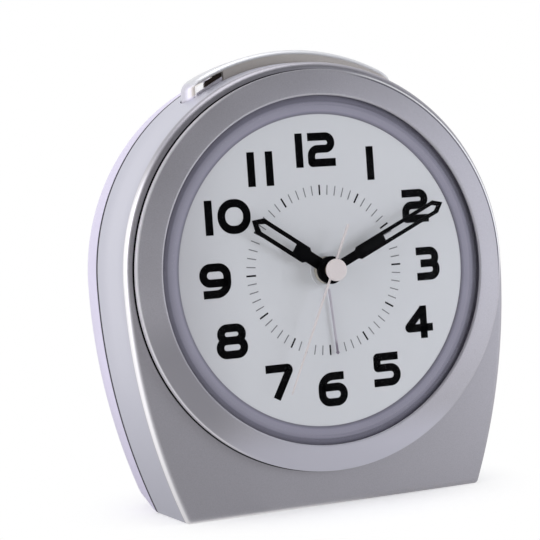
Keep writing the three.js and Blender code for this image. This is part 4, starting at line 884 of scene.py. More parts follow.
def ring_of_marks(name: str, finish: Finish, count: int, radius: float, mark: Point, keep_every: int,
                  every: bool, y: float) -> Piece:
    """Makes marks round the dial with a geometry tree.

    Args:
        name: The piece's name.
        finish: The marks' surface.
        count: Places round the circle.
        radius: Middle of the marks from the dial's centre.
        mark: Length, width and height of one mark.
        keep_every: Every so many places is a main mark.
        every: Whether the main marks are made, or the others.
        y: Middle of the marks along Y.

    Returns:
        The marks as one mesh.
    """
    tree = CopyTree(name, finish)
    places = tree.size("Count", "NodeSocketInt", count)
    reach = tree.size("Radius", "NodeSocketFloat", radius * MM)
    extent = tree.size("Mark", "NodeSocketVector", tuple(part * MM for part in mark))
    step = tree.size("Step", "NodeSocketInt", keep_every)
    ring = tree.add("GeometryNodeMeshCircle", {"Vertices": places, "Radius": reach})
    bar = tree.add("GeometryNodeMeshCube", {"Size": extent})
    index = tree.add("GeometryNodeInputIndex").outputs[0]
    turn = tree.math("MULTIPLY", tree.math("DIVIDE", index, places), FULL_TURN)
    spin = tree.add("ShaderNodeCombineXYZ", {"Z": turn})
    rotation = tree.add("FunctionNodeEulerToRotation")
    tree.link(spin.outputs[0], rotation.inputs[0])
    main = tree.math("LESS_THAN", tree.math("MODULO", index, step), NEAR_NOUGHT)
    chosen = main if every else tree.math("SUBTRACT", 1.0, main)
    copies = tree.add("GeometryNodeInstanceOnPoints", {
        "Points": ring.outputs["Mesh"], "Selection": chosen, "Instance": bar.outputs["Mesh"],
        "Rotation": rotation.outputs[0]})
    stand = tree.add("GeometryNodeTransform", {
        "Geometry": copies.outputs[0], "Rotation": (math.pi / 2.0, 0.0, 0.0),
        "Translation": to_row((0.0, y, DIAL_HEIGHT))})
    tree.end(stand.outputs[0])
    return tree.run(new_piece(name, [(0.0, 0.0, 0.0)], []))


def copies_at(name: str, finish: Finish, pattern: Piece, places: Sequence[Point]) -> Piece:
    """Sets copies of a pattern piece at places with a geometry tree, and uses the pattern up.

    Args:
        name: The piece's name.
        finish: The copies' surface.
        pattern: A piece made about the dial's zero point on the table.
        places: Where the copies go, in millimetres from that point.

    Returns:
        The copies as one mesh.
    """
    tree = CopyTree(name, finish)
    source = tree.size("Pattern", "NodeSocketObject", pattern)
    info = tree.add("GeometryNodeObjectInfo", {"Object": source})
    copies = tree.add("GeometryNodeInstanceOnPoints", {
        "Points": tree.entry.outputs["Geometry"], "Instance": info.outputs["Geometry"]})
    tree.end(copies.outputs[0])
    offsets = [(x, y - FACE, z) for x, y, z in places]
    result = tree.run(new_piece(name, offsets, []))
    bpy.data.objects.remove(pattern)
    return result


# Case

@dataclass
class CaseShape:
    """The case's outline, shared by its two shells: round above the dial's centre, bowed sides, flat foot."""

    radius: float = 57.2
    base_half: float = 44.5
    foot: float = 1.2
    front: float = 1.0
    parting: float = 25.2
    rise: float = 2.2   # how much higher the top is at the parting line than at the front
    gap: float = 0.3
    wall: float = 2.2
    foot_steps: int = 8
    side_steps: int = 40
    top_steps: int = 160
    floor_steps: int = 24

    @property
    def side_radius(self) -> float:
        """Radius of the bowed sides."""
        rise = self.radius - self.base_half
        return (DIAL_HEIGHT ** 2 + rise ** 2) / (2.0 * rise)

    @property
    def side_centre(self) -> float:
        """Where the right side's arc has its centre in X."""
        return self.radius - self.side_radius

    def half_width(self, height: float) -> float:
        """Returns the half width of the case at a height."""
        return self.side_centre + math.sqrt(self.side_radius ** 2 - (DIAL_HEIGHT - height) ** 2)

    def rise_at(self, y: float) -> float:
        """Returns how far the top is above its round at the front, at a depth."""
        return self.rise * min(1.0, max(0.0, (y - self.front) / (self.parting - self.front)))

    def outline(self, y: float, inset: float, floor: float, foot: float) -> list[Flat]:
        """Returns the outline.

        Args:
            y: The depth at which the case is cut.
            inset: How far it lies inside the case's skin.
            floor: Height of its flat foot.
            foot: Round of its lower corners.

        Returns:
            Points in X and Z, always as many.
        """
        radius = self.side_radius - inset
        drop = DIAL_HEIGHT - floor - foot
        foot_x = self.side_centre + math.sqrt((radius - foot) ** 2 - drop ** 2)
        side_end = math.asin(drop / (radius - foot))
        right: list[Flat] = []
        for k in range(self.foot_steps):
            angle = -math.pi / 2.0 + (math.pi / 2.0 - side_end) * k / self.foot_steps
            right.append((foot_x + foot * math.cos(angle), floor + foot + foot * math.sin(angle)))
        for k in range(self.side_steps):
            angle = -side_end * (1.0 - k / self.side_steps)
            right.append((self.side_centre + radius * math.cos(angle),
                          DIAL_HEIGHT + radius * math.sin(angle)))
        top_radius = self.radius - inset
        top = [math.pi * k / self.top_steps for k in range(self.top_steps + 1)]
        arch = [(top_radius * math.cos(a), DIAL_HEIGHT + top_radius * math.sin(a)) for a in top]
        left = [(-x, z) for x, z in reversed(right)]
        base = [(-foot_x + 2.0 * foot_x * k / self.floor_steps, floor) for k in range(1, self.floor_steps)]
        stretch = self.rise_at(y) / self.radius
        return [(x, z + stretch * max(0.0, z - DIAL_HEIGHT)) for x, z in right + arch + left + base]

    def ring(self, inset: float, y: float) -> list[Point]:
        """Returns a ring of the front shell at a depth."""
        return [(x, y, z) for x, z in self.outline(y, inset, inset, self.foot)]

    def round_ring(self, radius: float, y: float) -> list[Point]:
        """Lays a circle about the dial's line with its corners level with those of the outline.

        Args:
            radius: Its radius.
            y: Its depth.

        Returns:
            Points round the circle.
        """
        outline = self.outline(self.front, 0.0, 0.0, self.foot)
        spokes = [Vector((x, z - DIAL_HEIGHT)).normalized() for x, z in outline]
        return [(radius * spoke.x, y, DIAL_HEIGHT + radius * spoke.y) for spoke in spokes]


@dataclass
class BarShape:
    """The snooze bar's plan and heights, shared with its pocket."""

    front: float = 11.0
    depth: float = 10.0
    half: float = 32.0
    top: float = 61.8   # crown, from the dial's centre
    under: float = 55.2
    round: float = 1.6
    wall: float = 1.5
    notch: Flat = (-29.7, -21.4)
    notch_top: float = 60.3
    pocket_floor: float = 52.8
    pocket_under: float = 50.8
    pocket_wall: float = 2.0
    fit: float = 0.3
    end_steps: int = 24
    side_steps: int = 60

    def ring(self, inset: float, reach: float) -> list[Point]:
        """Returns the plan, laid on an arc about the dial's line.

        Args:
            inset: How far it is drawn in.
            reach: The arc's radius.

        Returns:
            Points round the plan, always as many.
        """
        radius = max(0.0, self.depth / 2.0 - inset)
        straight = self.half - self.depth / 2.0
        middle = self.front + self.depth / 2.0
        plan: list[Flat] = []
        for side in (1.0, -1.0):
            for k in range(self.end_steps):
                angle = -math.pi / 2.0 + math.pi * k / self.end_steps
                plan.append((side * (straight + radius * math.cos(angle)),
                             middle + side * radius * math.sin(angle)))
            for k in range(self.side_steps):
                plan.append((side * straight * (1.0 - 2.0 * k / self.side_steps), middle + side * radius))
        return [(x, y, arc_height(x, reach)) for x, y in plan]

    def arch(self, name: str, inset: float, low: float, high: float) -> Piece:
        """Makes a closed solid under the plan.

        Args:
            name: The piece's name.
            inset: How far the plan is drawn in.
            low: Its underside, from the dial's line.
            high: Its top, from the dial's line.

        Returns:
            The new object.
        """
        closed = self.depth / 2.0
        return skin(name, [self.ring(closed, low), self.ring(inset, low), self.ring(inset, high),
                           self.ring(closed, high)])


@dataclass
class FrontCase:
    """The front shell with its rounded edge, dial opening, snooze pocket and switch slot."""

    shape: CaseShape
    bar: BarShape
    edge: float = 1.5
    edge_steps: int = 10
    side_rings: int = 7
    opening: float = 50.5
    lip: float = 0.3
    lip_break: float = 0.1
    pocket_over: float = 4.0   # how far the pocket's cutter runs past the bar's crown
    slot_low: float = 51.7
    slot_high: float = 59.3
    slot_depth: Flat = (9.4, 11.6)
    slot_across: Flat = (-5.0, 4.0)

    def build(self) -> None:
        """Makes the shell and seats it."""
        shell = skin("front_shell", self.rings(), looped=True)
        shape, bar = self.shape, self.bar
        grow = bar.fit + bar.pocket_wall
        ends = (bar.front - grow, bar.front + bar.depth + grow)
        top = shape.radius + (sum(shape.rise_at(y) for y in ends) - shape.wall) / 2.0
        combine(shell, bar.arch("well", -grow, bar.pocket_under, top), Cut.JOIN)
        combine(shell, bar.arch("pocket", -bar.fit, bar.pocket_floor, bar.top + self.pocket_over), Cut.REMOVE)
        wall_x = shape.half_width((self.slot_low + self.slot_high) / 2.0)
        low, high = ((wall_x + across, depth, height) for across, depth, height in zip(
            self.slot_across, self.slot_depth, (self.slot_low, self.slot_high)))
        combine(shell, block("slot", low, high), Cut.REMOVE)
        smooth(shell)
        seat(shell, Body.CASE, "silver", Finishes.SILVER, "front_case")

    def rings(self) -> list[list[Point]]:
        """Lays the shell's rings.

        Returns:
            The opening, the rounded edge, the side, the parting face and the inside.
        """
        shape = self.shape
        inside = shape.front + shape.wall
        start, side = shape.front + self.edge, shape.parting - self.lip
        rings = [shape.round_ring(self.opening, inside),
                 shape.round_ring(self.opening, shape.front + self.lip),
                 shape.round_ring(self.opening + self.lip, shape.front)]
        rings += [shape.ring(inset, shape.front + fall)
                  for inset, fall in edge_round(self.edge, self.edge_steps)]
        rings += [shape.ring(0.0, start + (side - start) * k / self.side_rings)
                  for k in range(1, self.side_rings + 1)]
        rings += [shape.ring(self.lip_break, shape.parting - self.lip_break),
                  shape.ring(self.lip, shape.parting), shape.ring(shape.wall, shape.parting),
                  shape.ring(shape.wall, inside)]
        return rings


@dataclass
class RearCase:
    """The rear shell with its lip, battery bay, screw wells, knob holes and sound holes."""

    shape: CaseShape
    straight: float = 4.0
    round_depth: float = 18.8
    round_inset: float = 13.0
    floor_round: float = 5.0
    foot_round: float = 9.0
    foot_run: float = 8.0
    lip_reach: float = 1.5
    lip_wall: float = 1.2
    fit: float = 0.3
    edge: float = 0.35
    edge_break: float = 0.1
    straight_rings: int = 6
    steps: int = 30
    bay_half: float = 29.0
    bay_low: float = 9.0
    bay_high: float = 25.0
    bay_wall: float = 1.0
    bay_front: float = 31.0
    screws: Sequence[Flat] = ((40.0, 20.0), (-40.0, 20.0), (36.911, 101.411), (-36.911, 101.411))
    boss: float = 4.2
    screw_seat: float = 32.4
    screw_well: float = 3.2
    screw_hole: float = 1.6
    segments: int = 48
    hole_segments: int = 24
    reach: float = 2.0   # how far a tool runs past a face
    stems: Sequence[Flat] = ((11.591, 61.394), (-13.909, 60.773))
    stem_hole: float = 2.7
    buzzer: Flat = (0.0, 93.5)
    sound_hole: float = 1.2
    sound_rings: Sequence[tuple[float, int]] = ((0.0, 1), (4.0, 5), (8.0, 8))

    @property
    def start(self) -> float:
        """Front edge of the shell."""
        return self.shape.parting + self.shape.gap

    @property
    def back(self) -> float:
        """Back face of the shell."""
        return self.start + self.straight + self.round_depth

    def ring(self, wall: float, share: float) -> list[Point]:
        """Returns a ring of the rounded back.

        Args:
            wall: How far it lies inside the skin.
            share: From nought at the straight part to one at the back face.

        Returns:
            Points round the case.
        """
        angle = math.pi / 2.0 * share
        y = self.start + self.straight + (self.round_depth - wall) * math.sin(angle)
        inset = wall + self.round_inset * (1.0 - math.cos(angle))
        run = min(max(0.0, y + wall - self.back + self.floor_round), self.floor_round)
        floor = wall + self.floor_round - math.sqrt(self.floor_round ** 2 - run ** 2)
        return [(x, y, z) for x, z in self.shape.outline(y, inset, floor, self.foot_at(y))]

    def foot_at(self, y: float) -> float:
        """Grows the round of the lower corners from the front edge backwards.

        Args:
            y: The depth.

        Returns:
            The round there.
        """
        grown = min(1.0, max(0.0, (y - self.start) / self.foot_run))
        eased = grown * grown * (3.0 - 2.0 * grown)
        return self.shape.foot + (self.foot_round - self.shape.foot) * eased

    def plain_ring(self, inset: float, y: float) -> list[Point]:
        """Returns a ring of the straight part."""
        return [(x, y, z) for x, z in self.shape.outline(y, inset, inset, self.foot_at(y))]

    def outside(self) -> list[list[Point]]:
        """Lays the skin.

        Returns:
            Its rings from the front edge to the back face.
        """
        eased = self.start + self.edge
        run = self.start + self.straight - eased
        front = [self.plain_ring(self.edge, self.start),
                 self.plain_ring(self.edge_break, self.start + self.edge_break), self.plain_ring(0.0, eased)]
        front += [self.plain_ring(0.0, eased + run * k / self.straight_rings)
                  for k in range(1, self.straight_rings)]
        return front + [self.ring(0.0, k / self.steps) for k in range(self.steps + 1)]

    def build(self) -> None:
        """Makes the shell with its inner walls and seats them."""
        wall = self.shape.wall
        lip = wall + self.fit
        inner = lip + self.lip_wall
        lip_front = self.shape.parting - self.lip_reach
        lip_back = self.start + self.lip_reach
        rings = list(reversed(self.outside()))
        rings += [self.plain_ring(lip, self.start), self.plain_ring(lip, lip_front),
                  self.plain_ring(inner, lip_front), self.plain_ring(inner, lip_back),
                  self.plain_ring(wall, lip_back)]
        rings += [self.ring(wall, k / self.steps) for k in range(self.steps + 1)]
        body = skin("rear_shell", rings)
        combine(body, self.cutters(), Cut.REMOVE)
        smooth(body)
        seat(body, Body.CASE, "silver_pale", Finishes.SILVER_PALE, "rear_case")
        self.build_bay()
        self.build_wells()

    def cutters(self) -> Piece:
        """Makes what opens the bay, the screw wells, the knob holes and the sound holes.

        Returns:
            All of it as one tool.
        """
        past = self.back + self.reach
        tools = [self.bay_block("bay_room", 0.0, past)]
        tools += [turned("well", rod(self.screw_well, self.screw_seat, past), self.segments, place)
                  for place in self.screws]
        stem = rod(self.stem_hole, self.back - 2.0 * self.reach, past)
        tools += [turned("stem", stem, self.segments, place) for place in self.stems]
        tools.append(self.sound_cutters())
        return join_pieces("cutters", tools)

    def bay_block(self, name: str, wall: float, rear: float) -> Piece:
        """Returns a block that fills the bay and its walls, back to a depth."""
        return block(name, (-self.bay_half - wall, self.bay_front - wall, self.bay_low - wall),
                     (self.bay_half + wall, rear, self.bay_high + wall))

    def build_bay(self) -> None:
        """Makes the battery bay's walls, which stand on the inside of the back."""
        bay = self.bay_block("bay_box", self.bay_wall, self.back - self.shape.wall + self.fit)
        combine(bay, self.bay_block("bay_room", 0.0, self.back), Cut.REMOVE)
        smooth(bay)
        seat(bay, Body.CASE, "silver_pale", Finishes.SILVER_PALE)

    def build_wells(self) -> None:
        """Makes the tubes that hold the case screws, trimmed to the inside of the shell."""
        front = self.shape.parting - self.lip_reach
        profile = [(self.screw_hole, front), (self.boss, front), (self.boss, self.back),
                   (self.screw_well, self.back), (self.screw_well, self.screw_seat),
                   (self.screw_hole, self.screw_seat)]
        wells = join_pieces("screw_wells", [turned("well", profile, self.segments, place)
                                            for place in self.screws])
        under = self.shape.wall - self.fit
        room = [self.plain_ring(under, front)]
        room += [self.ring(under, k / self.steps) for k in range(self.steps + 1)]
        combine(wells, skin("room", room), Cut.KEEP)
        smooth(wells)
        seat(wells, Body.CASE, "silver_pale", Finishes.SILVER_PALE)

    def sound_cutters(self) -> Piece:
        """Makes the rods that open the sound holes.

        Returns:
            The rods as one tool.
        """
        profile = rod(self.sound_hole, self.back - 2.0 * self.reach, self.back + self.reach)
        pattern = turned("sound_rod", profile, self.hole_segments, (0.0, 0.0))
        x, z = self.buzzer
        places: list[Point] = []
        for radius, count in self.sound_rings:
            places += [(x + radius * math.sin(a), 0.0, z + radius * math.cos(a)) for a in around(count)]
        return copies_at("sound_holes", Finishes.SILVER_PALE, pattern, places)


# Bezel, lens and dial

@dataclass
class Bezel:
    """The ring round the lens: a convex face, a rim and a collar inside the case."""

    inner: float = 47.8
    outer: float = 55.0
    front: float = -2.2
    drop: float = 0.7
    lip_back: float = -1.6
    rim_back: float = 0.2
    collar_inner: float = 49.4
    collar_outer: float = 50.2
    collar_back: float = 3.2
    edge: float = 0.3
    inner_edge: Sequence[Flat] = ((0.0, 1.6), (0.1, 0.7))   # out and back, as shares of the edge
    outer_edge: Sequence[Flat] = ((-0.1, 0.25), (0.0, 1.0))
    bow: float = 1.35
    fall: float = 0.93   # share of the drop that the face itself takes
    steps: int = 24
    segments: int = 256
    sharp: float = 40.0

    def face(self) -> list[Flat]:
        """Draws the bowed face.

        Returns:
            Its profile from the inner to the outer edge.
        """
        edge = self.edge
        width = self.outer - self.inner - 2.0 * edge
        shares = [k / self.steps for k in range(self.steps + 1)]
        points = [(self.inner + out * edge, self.front + back * edge) for out, back in self.inner_edge]
        points += [(self.inner + edge + width * share, self.front + self.drop * share ** self.bow * self.fall)
                   for share in shares]
        points += [(self.outer + out * edge, self.front + self.drop + back * edge)
                   for out, back in self.outer_edge]
        return points

    def build(self) -> None:
        """Makes the ring and seats it."""
        profile = self.face() + [(self.outer, self.rim_back), (self.collar_outer, self.rim_back),
                                 (self.collar_outer, self.collar_back), (self.collar_inner, self.collar_back),
                                 (self.collar_inner, self.lip_back), (self.inner, self.lip_back)]
        ring = turned("bezel", profile, self.segments)
        smooth(ring, self.sharp)
        seat(ring, Body.CASE, "silver", Finishes.RING, "bezel_ring")


@dataclass
class Lens:
    """The clear dome with its straight step and the flange under the bezel."""

    step_radius: float = 46.0
    step: float = -4.6
    crown: float = 4.8
    wall: float = 0.9
    flange_radius: float = 49.1
    flange_front: float = -1.55
    flange_back: float = -0.85
    edge: float = 0.7
    edge_turns: Sequence[float] = (30.0, 55.0, 75.0, 90.0)
    edge_fall: float = 0.86   # how far the edge falls, as a share of its width
    steps: int = 28
    segments: int = 192
    sharp: float = 50.0

    def dome(self, radius: float, depth: float) -> Flat:
        """Returns a point of the dome at a radius, at a depth behind its outer skin."""
        bow = (self.step_radius ** 2 + self.crown ** 2) / (2.0 * self.crown)
        return (radius, self.step - self.crown + depth + bow - math.sqrt(bow ** 2 - radius ** 2))

    def build(self) -> None:
        """Makes the lens and seats it."""
        shoulder = self.step_radius - self.wall
        rim = self.step_radius - self.edge
        outer = [self.dome(rim * k / self.steps, 0.0) for k in range(self.steps + 1)]
        corner = [(self.step_radius - self.edge * (1.0 - math.sin(a)),
                   self.step + self.edge * self.edge_fall * (1.0 - math.cos(a)))
                  for a in map(math.radians, self.edge_turns)]
        flange = [(self.step_radius, self.flange_front), (self.flange_radius, self.flange_front),
                  (self.flange_radius, self.flange_back), (shoulder, self.flange_back)]
        inner = [self.dome(shoulder * (1.0 - k / self.steps), self.wall) for k in range(self.steps + 1)]
        lens = turned("lens_dome", outer + corner + flange + inner, self.segments)
        smooth(lens, self.sharp)
        seat(lens, Body.CASE, "clear", Finishes.CLEAR, "lens")


@dataclass
class DialFace:
    """The dial, the sloping surround and the printed scale and numerals."""

    visible: float = 42.75
    shoulder: float = 45.1
    radius: float = 49.1
    hole: float = 4.0
    thick: float = 0.8
    print_high: float = 0.04
    segments: int = 192
    band_back: float = -0.05
    band_profile: Sequence[Flat] = ((0.0, -0.12), (0.25, -0.3))   # out from the dial's seen edge, and depth
    band_front: float = -0.8
    band_sharp: float = 25.0
    minutes: int = 60
    main_every: int = 5
    main_longer: float = 1.06
    tick_radius: float = 22.0
    tick_length: float = 2.65
    tick_width: float = 0.29
    main_width: float = 0.47
    numeral_radius: float = 33.0
    numeral_high: float = 9.35

    def build(self) -> None:
        """Makes the dial's pieces and seats them."""
        rise = [(self.visible + out, y) for out, y in self.band_profile]
        surround = turned("surround", [
            (self.visible, self.band_back), *rise, (self.shoulder, self.band_front),
            (self.radius, self.band_front), (self.radius, self.band_back)], self.segments)
        smooth(surround, self.band_sharp)
        seat(surround, Body.CASE, "surround", Finishes.SURROUND, "dial_surround")
        sheet = turned("dial_sheet", [(self.hole, 0.0), (self.radius, 0.0), (self.radius, self.thick),
                                      (self.hole, self.thick)], self.segments)
        smooth(sheet)
        seat(sheet, Body.CASE, "dial", Finishes.DIAL, "dial")
        longer = self.tick_length * self.main_longer
        self.build_scale("scale_fine", Finishes.TICK, self.tick_length, self.tick_width, main=False)
        self.build_scale("scale_main", Finishes.MARK, longer, self.main_width, main=True)
        Numerals(self.numeral_radius, self.numeral_high, self.print_high).build()

    def build_scale(self, name: str, finish: Finish, length: float, width: float, main: bool) -> None:
        """Makes one kind of the scale's marks and seats them.

        Args:
            name: The piece's name.
            finish: The marks' ink.
            length: Length of a mark.
            width: Width of a mark.
            main: Whether these are the main marks.
        """
        marks = ring_of_marks(name, finish, self.minutes, self.tick_radius, (length, width, self.print_high),
                              self.main_every, main, -self.print_high / 2.0)
        seat(marks, Body.CASE, "hand_black", finish)


Stroke = tuple[list[Point], bool]


@dataclass
class Numerals:
    """Heavy upright numerals with rounded corners, drawn as broad strokes."""

    radius: float
    high: float
    thick: float
    stroke: float = 2.2
    gap: float = 1.4
    bar_gap: float = 3.1   # between the two bars of eleven
    hours: int = 12
    corner_steps: int = 8
    least_turn: float = 0.35   # keeps a stroke's sharp corner from running out
    nine_wider: float = 1.04
    nudges: dict[int, Flat] = field(default_factory=lambda: {   # each numeral's place off the hours' circle
        1: (-0.4, 0.0), 2: (0.7, -0.6), 3: (-0.85, -0.5), 4: (-0.85, -0.2), 5: (0.5, -0.4), 6: (0.0, 0.2),
        7: (1.0, -0.55), 8: (-0.3, -0.45), 9: (0.6, -0.5), 10: (1.0, -0.2), 11: (-0.65, 0.0),
        12: (-0.45, 0.0)})

    def digit(self, digit: int) -> tuple[float, list[Stroke]]:
        """Draws a digit.

        Args:
            digit: The digit.

        Returns:
            Its width and its strokes about its middle, as middle lines with corner rounds.
        """
        top = self.high / 2.0 - self.stroke / 2.0
        end = self.high / 2.0
        shapes: dict[int, tuple[float, list[Stroke]]] = {
            0: (9.6, [([(-3.7, -top, 3.4), (3.7, -top, 3.4), (3.7, top, 3.4), (-3.7, top, 3.4)], True)]),
            1: (2.3, [([(0.0, -end, 0.0), (0.0, end, 0.0)], False)]),
            2: (8.3, [([(-4.0, top, 0.0), (3.05, top, 2.0), (3.05, 0.2, 1.9), (-3.05, 0.2, 1.9),
                        (-3.05, -top, 0.3), (4.2, -top, 0.0)], False)]),
            3: (7.5, [([(-3.6, top, 0.0), (2.4, top, 1.9), (2.4, 0.1, 1.6), (-2.3, 0.1, 0.0)], False),
                      ([(-2.3, 0.1, 0.0), (2.6, 0.1, 1.6), (2.6, -top, 2.0), (-3.6, -top, 0.0)], False)]),
            4: (9.4, [([(1.8, -end, 0.0), (1.8, end - 0.2, 0.0)], False),
                      ([(1.8, end - 1.0, 0.0), (-3.4, -1.7, 0.3), (4.7, -1.7, 0.0)], False)]),
            5: (8.5, [([(3.6, top, 0.0), (-3.0, top, 0.3), (-3.0, 0.5, 0.3), (3.1, 0.5, 2.2),
                        (3.1, -top, 2.2), (-4.2, -top, 0.0)], False)]),
            6: (8.9, [([(3.5, top, 0.0), (-3.3, top, 3.2), (-3.3, -top, 2.4), (3.3, -top, 2.2),
                        (3.3, 0.6, 2.0), (-3.3, 0.6, 0.6)], False)]),
            7: (8.9, [([(-4.25, top, 0.0), (3.1, top, 0.6), (-1.4, -end, 0.0)], False)]),
            8: (9.1, [([(-3.05, 0.2, 1.8), (3.05, 0.2, 1.8), (3.05, top, 1.8), (-3.05, top, 1.8)], True),
                      ([(-3.45, -top, 2.0), (3.45, -top, 2.0), (3.45, 0.2, 2.0), (-3.45, 0.2, 2.0)], True)]),
        }
        shapes[9] = (9.1, [([(-self.nine_wider * u, -v, r) for u, v, r in line], closed)
                           for line, closed in shapes[6][1]])
        return shapes[digit]

    def ribbon(self, line: Sequence[Flat], closed: bool) -> Piece:
        """Makes a broad flat stroke.

        Args:
            line: Its middle line.
            closed: Whether the line closes on itself.

        Returns:
            The stroke as a thin closed slab.
        """
        half = self.stroke / 2.0
        count = len(line)
        rings: list[list[Point]] = []
        for k in range(count):
            here = Vector(line[k])
            runs: list[Vector] = []
            if closed or k:
                runs.append(here - Vector(line[k - 1]))
            if closed or k + 1 < count:
                runs.append(Vector(line[(k + 1) % count]) - here)
            runs = [run.normalized() for run in runs if run.length > WELD]
            along = sum(runs, Vector((0.0, 0.0))).normalized()
            stretch = half / max(self.least_turn, along.dot(runs[0]))
            normal = Vector((-along.y, along.x)) * stretch
            left, right = ((here.x + side * normal.x, here.y + side * normal.y) for side in (1.0, -1.0))
            rings.append([(left[0], -self.thick, left[1]), (right[0], -self.thick, right[1]),
                          (right[0], 0.0, right[1]), (left[0], 0.0, left[1])])
        return skin("stroke", rings, looped=closed)

    def write(self, number: int, middle: Flat) -> Piece:
        """Writes one number.

        Args:
            number: The number.
            middle: Its middle in X and Z.

        Returns:
            The number with its strokes joined.
        """
        digits = [int(letter) for letter in str(number)]
        gap = self.bar_gap if digits == [1, 1] else self.gap
        widths = [self.digit(digit)[0] for digit in digits]
        run = middle[0] - (sum(widths) + gap * (len(digits) - 1)) / 2.0
        strokes: list[Piece] = []
        for digit, width in zip(digits, widths):
            for corners, closed in self.digit(digit)[1]:
                path = rounded(corners, closed, self.corner_steps)
                strokes.append(self.ribbon([(run + width / 2.0 + u, middle[1] + v) for u, v in path], closed))
            run += width + gap
        whole, *others = strokes
        for stroke in others:
            combine(whole, stroke, Cut.JOIN)
        return whole

    def build(self) -> None:
        """Makes the numerals as one printed piece and seats it."""
        pieces: list[Piece] = []
        for number, (across, up) in self.nudges.items():
            angle = FULL_TURN * number / self.hours
            pieces.append(self.write(number, (self.radius * math.sin(angle) + across,
                                              DIAL_HEIGHT + self.radius * math.cos(angle) + up)))
        printed = join_pieces("numerals", pieces)
        smooth(printed)
        seat(printed, Body.CASE, "hand_black", Finishes.INK)


def join_pieces(name: str, pieces: Sequence[Piece]) -> Piece:
    """Gathers separate pieces into one mesh and uses them up.

    Args:
        name: The new piece's name.
        pieces: Pieces that don't touch each other.

    Returns:
        The new object.
    """
    work = bmesh.new()
    for piece in pieces:
        work.from_mesh(piece.data)
    mesh = bpy.data.meshes.new(name)
    work.to_mesh(mesh)
    work.free()
    whole = bpy.data.objects.new(name, mesh)
    bpy.context.scene.collection.objects.link(whole)
    for piece in pieces:
        bpy.data.objects.remove(piece)
    return whole


# Hands

def turned_hand(outline: Iterable[Flat], degrees: float) -> list[Flat]:
    """Turns an outline that points to twelve clockwise about the dial's centre.

    Args:
        outline: Points in X and in height over the dial's centre.
        degrees: How far it turns.

    Returns:
        Points in X and Z.
    """
    cos, sin = math.cos(math.radians(degrees)), math.sin(math.radians(degrees))
    return [(u * cos + v * sin, DIAL_HEIGHT - u * sin + v * cos) for u, v in outline]


def boss_outline(radius: float, neck: float, steps: int) -> list[Flat]:
    """Returns the round of a hand's boss, open at twelve.

    Args:
        radius: The boss's radius.
        neck: Half width of the opening.
        steps: Faces round the boss.

    Returns:
        Points about the hand's centre.
    """
    start = math.asin(neck / radius)
    angles = [start + (FULL_TURN - 2.0 * start) * k / steps for k in range(steps + 1)]
    return [(radius * math.sin(angle), radius * math.cos(angle)) for angle in angles]


@dataclass(frozen=True)
class Blade:
    """A skeleton hand: round boss, neck, wide blade with an open window, pointed end."""

    name: str
    body: Body
    length: float
    angle: float
    step: float
    window: float
    boss: float
    bore: float
    level: float
    wide: float
    neck: float
    rim: float
    point: float = 2.6
    thick: float = 0.5
    edge: float = 0.1
    boss_steps: int = 48
    reach: float = 1.0   # how far a tool runs past a face

    def outline(self) -> list[Flat]:
        """Draws the hand with its boss.

        Returns:
            Its outline, pointing to twelve.
        """
        wide, neck = self.wide / 2.0, self.neck / 2.0
        round_boss = boss_outline(self.boss, neck, self.boss_steps)
        start = self.step - (wide - neck)
        end = self.length - self.point
        return round_boss + [(-neck, start), (-wide, self.step), (-wide, end), (0.0, self.length),
                             (wide, end), (wide, self.step), (neck, start)]

    def window_outline(self) -> list[Flat]:
        """Draws the window.

        Returns:
            Its outline, pointing to twelve.
        """
        inner = self.wide / 2.0 - self.rim
        end = self.length - self.point
        return [(-inner, self.window), (inner, self.window), (inner, end - inner), (0.0, end + inner / 2.0),
                (-inner, end - inner)]

    def build(self, node: str) -> None:
        """Makes the hand and seats it.

        Args:
            node: The solid that it replaces.
        """
        front, back = -self.level - self.thick, -self.level
        hand = prism(self.name, turned_hand(self.outline(), self.angle), front, back)
        past = (front - self.reach, back + self.reach)
        window = prism("window", turned_hand(self.window_outline(), self.angle), *past)
        combine(hand, window, Cut.REMOVE)
        combine(hand, turned("bore", rod(self.bore, *past), self.boss_steps), Cut.REMOVE)
        ease(hand, self.edge)
        smooth(hand)
        seat(hand, self.body, "hand_black", Finishes.HAND_BLACK, node)


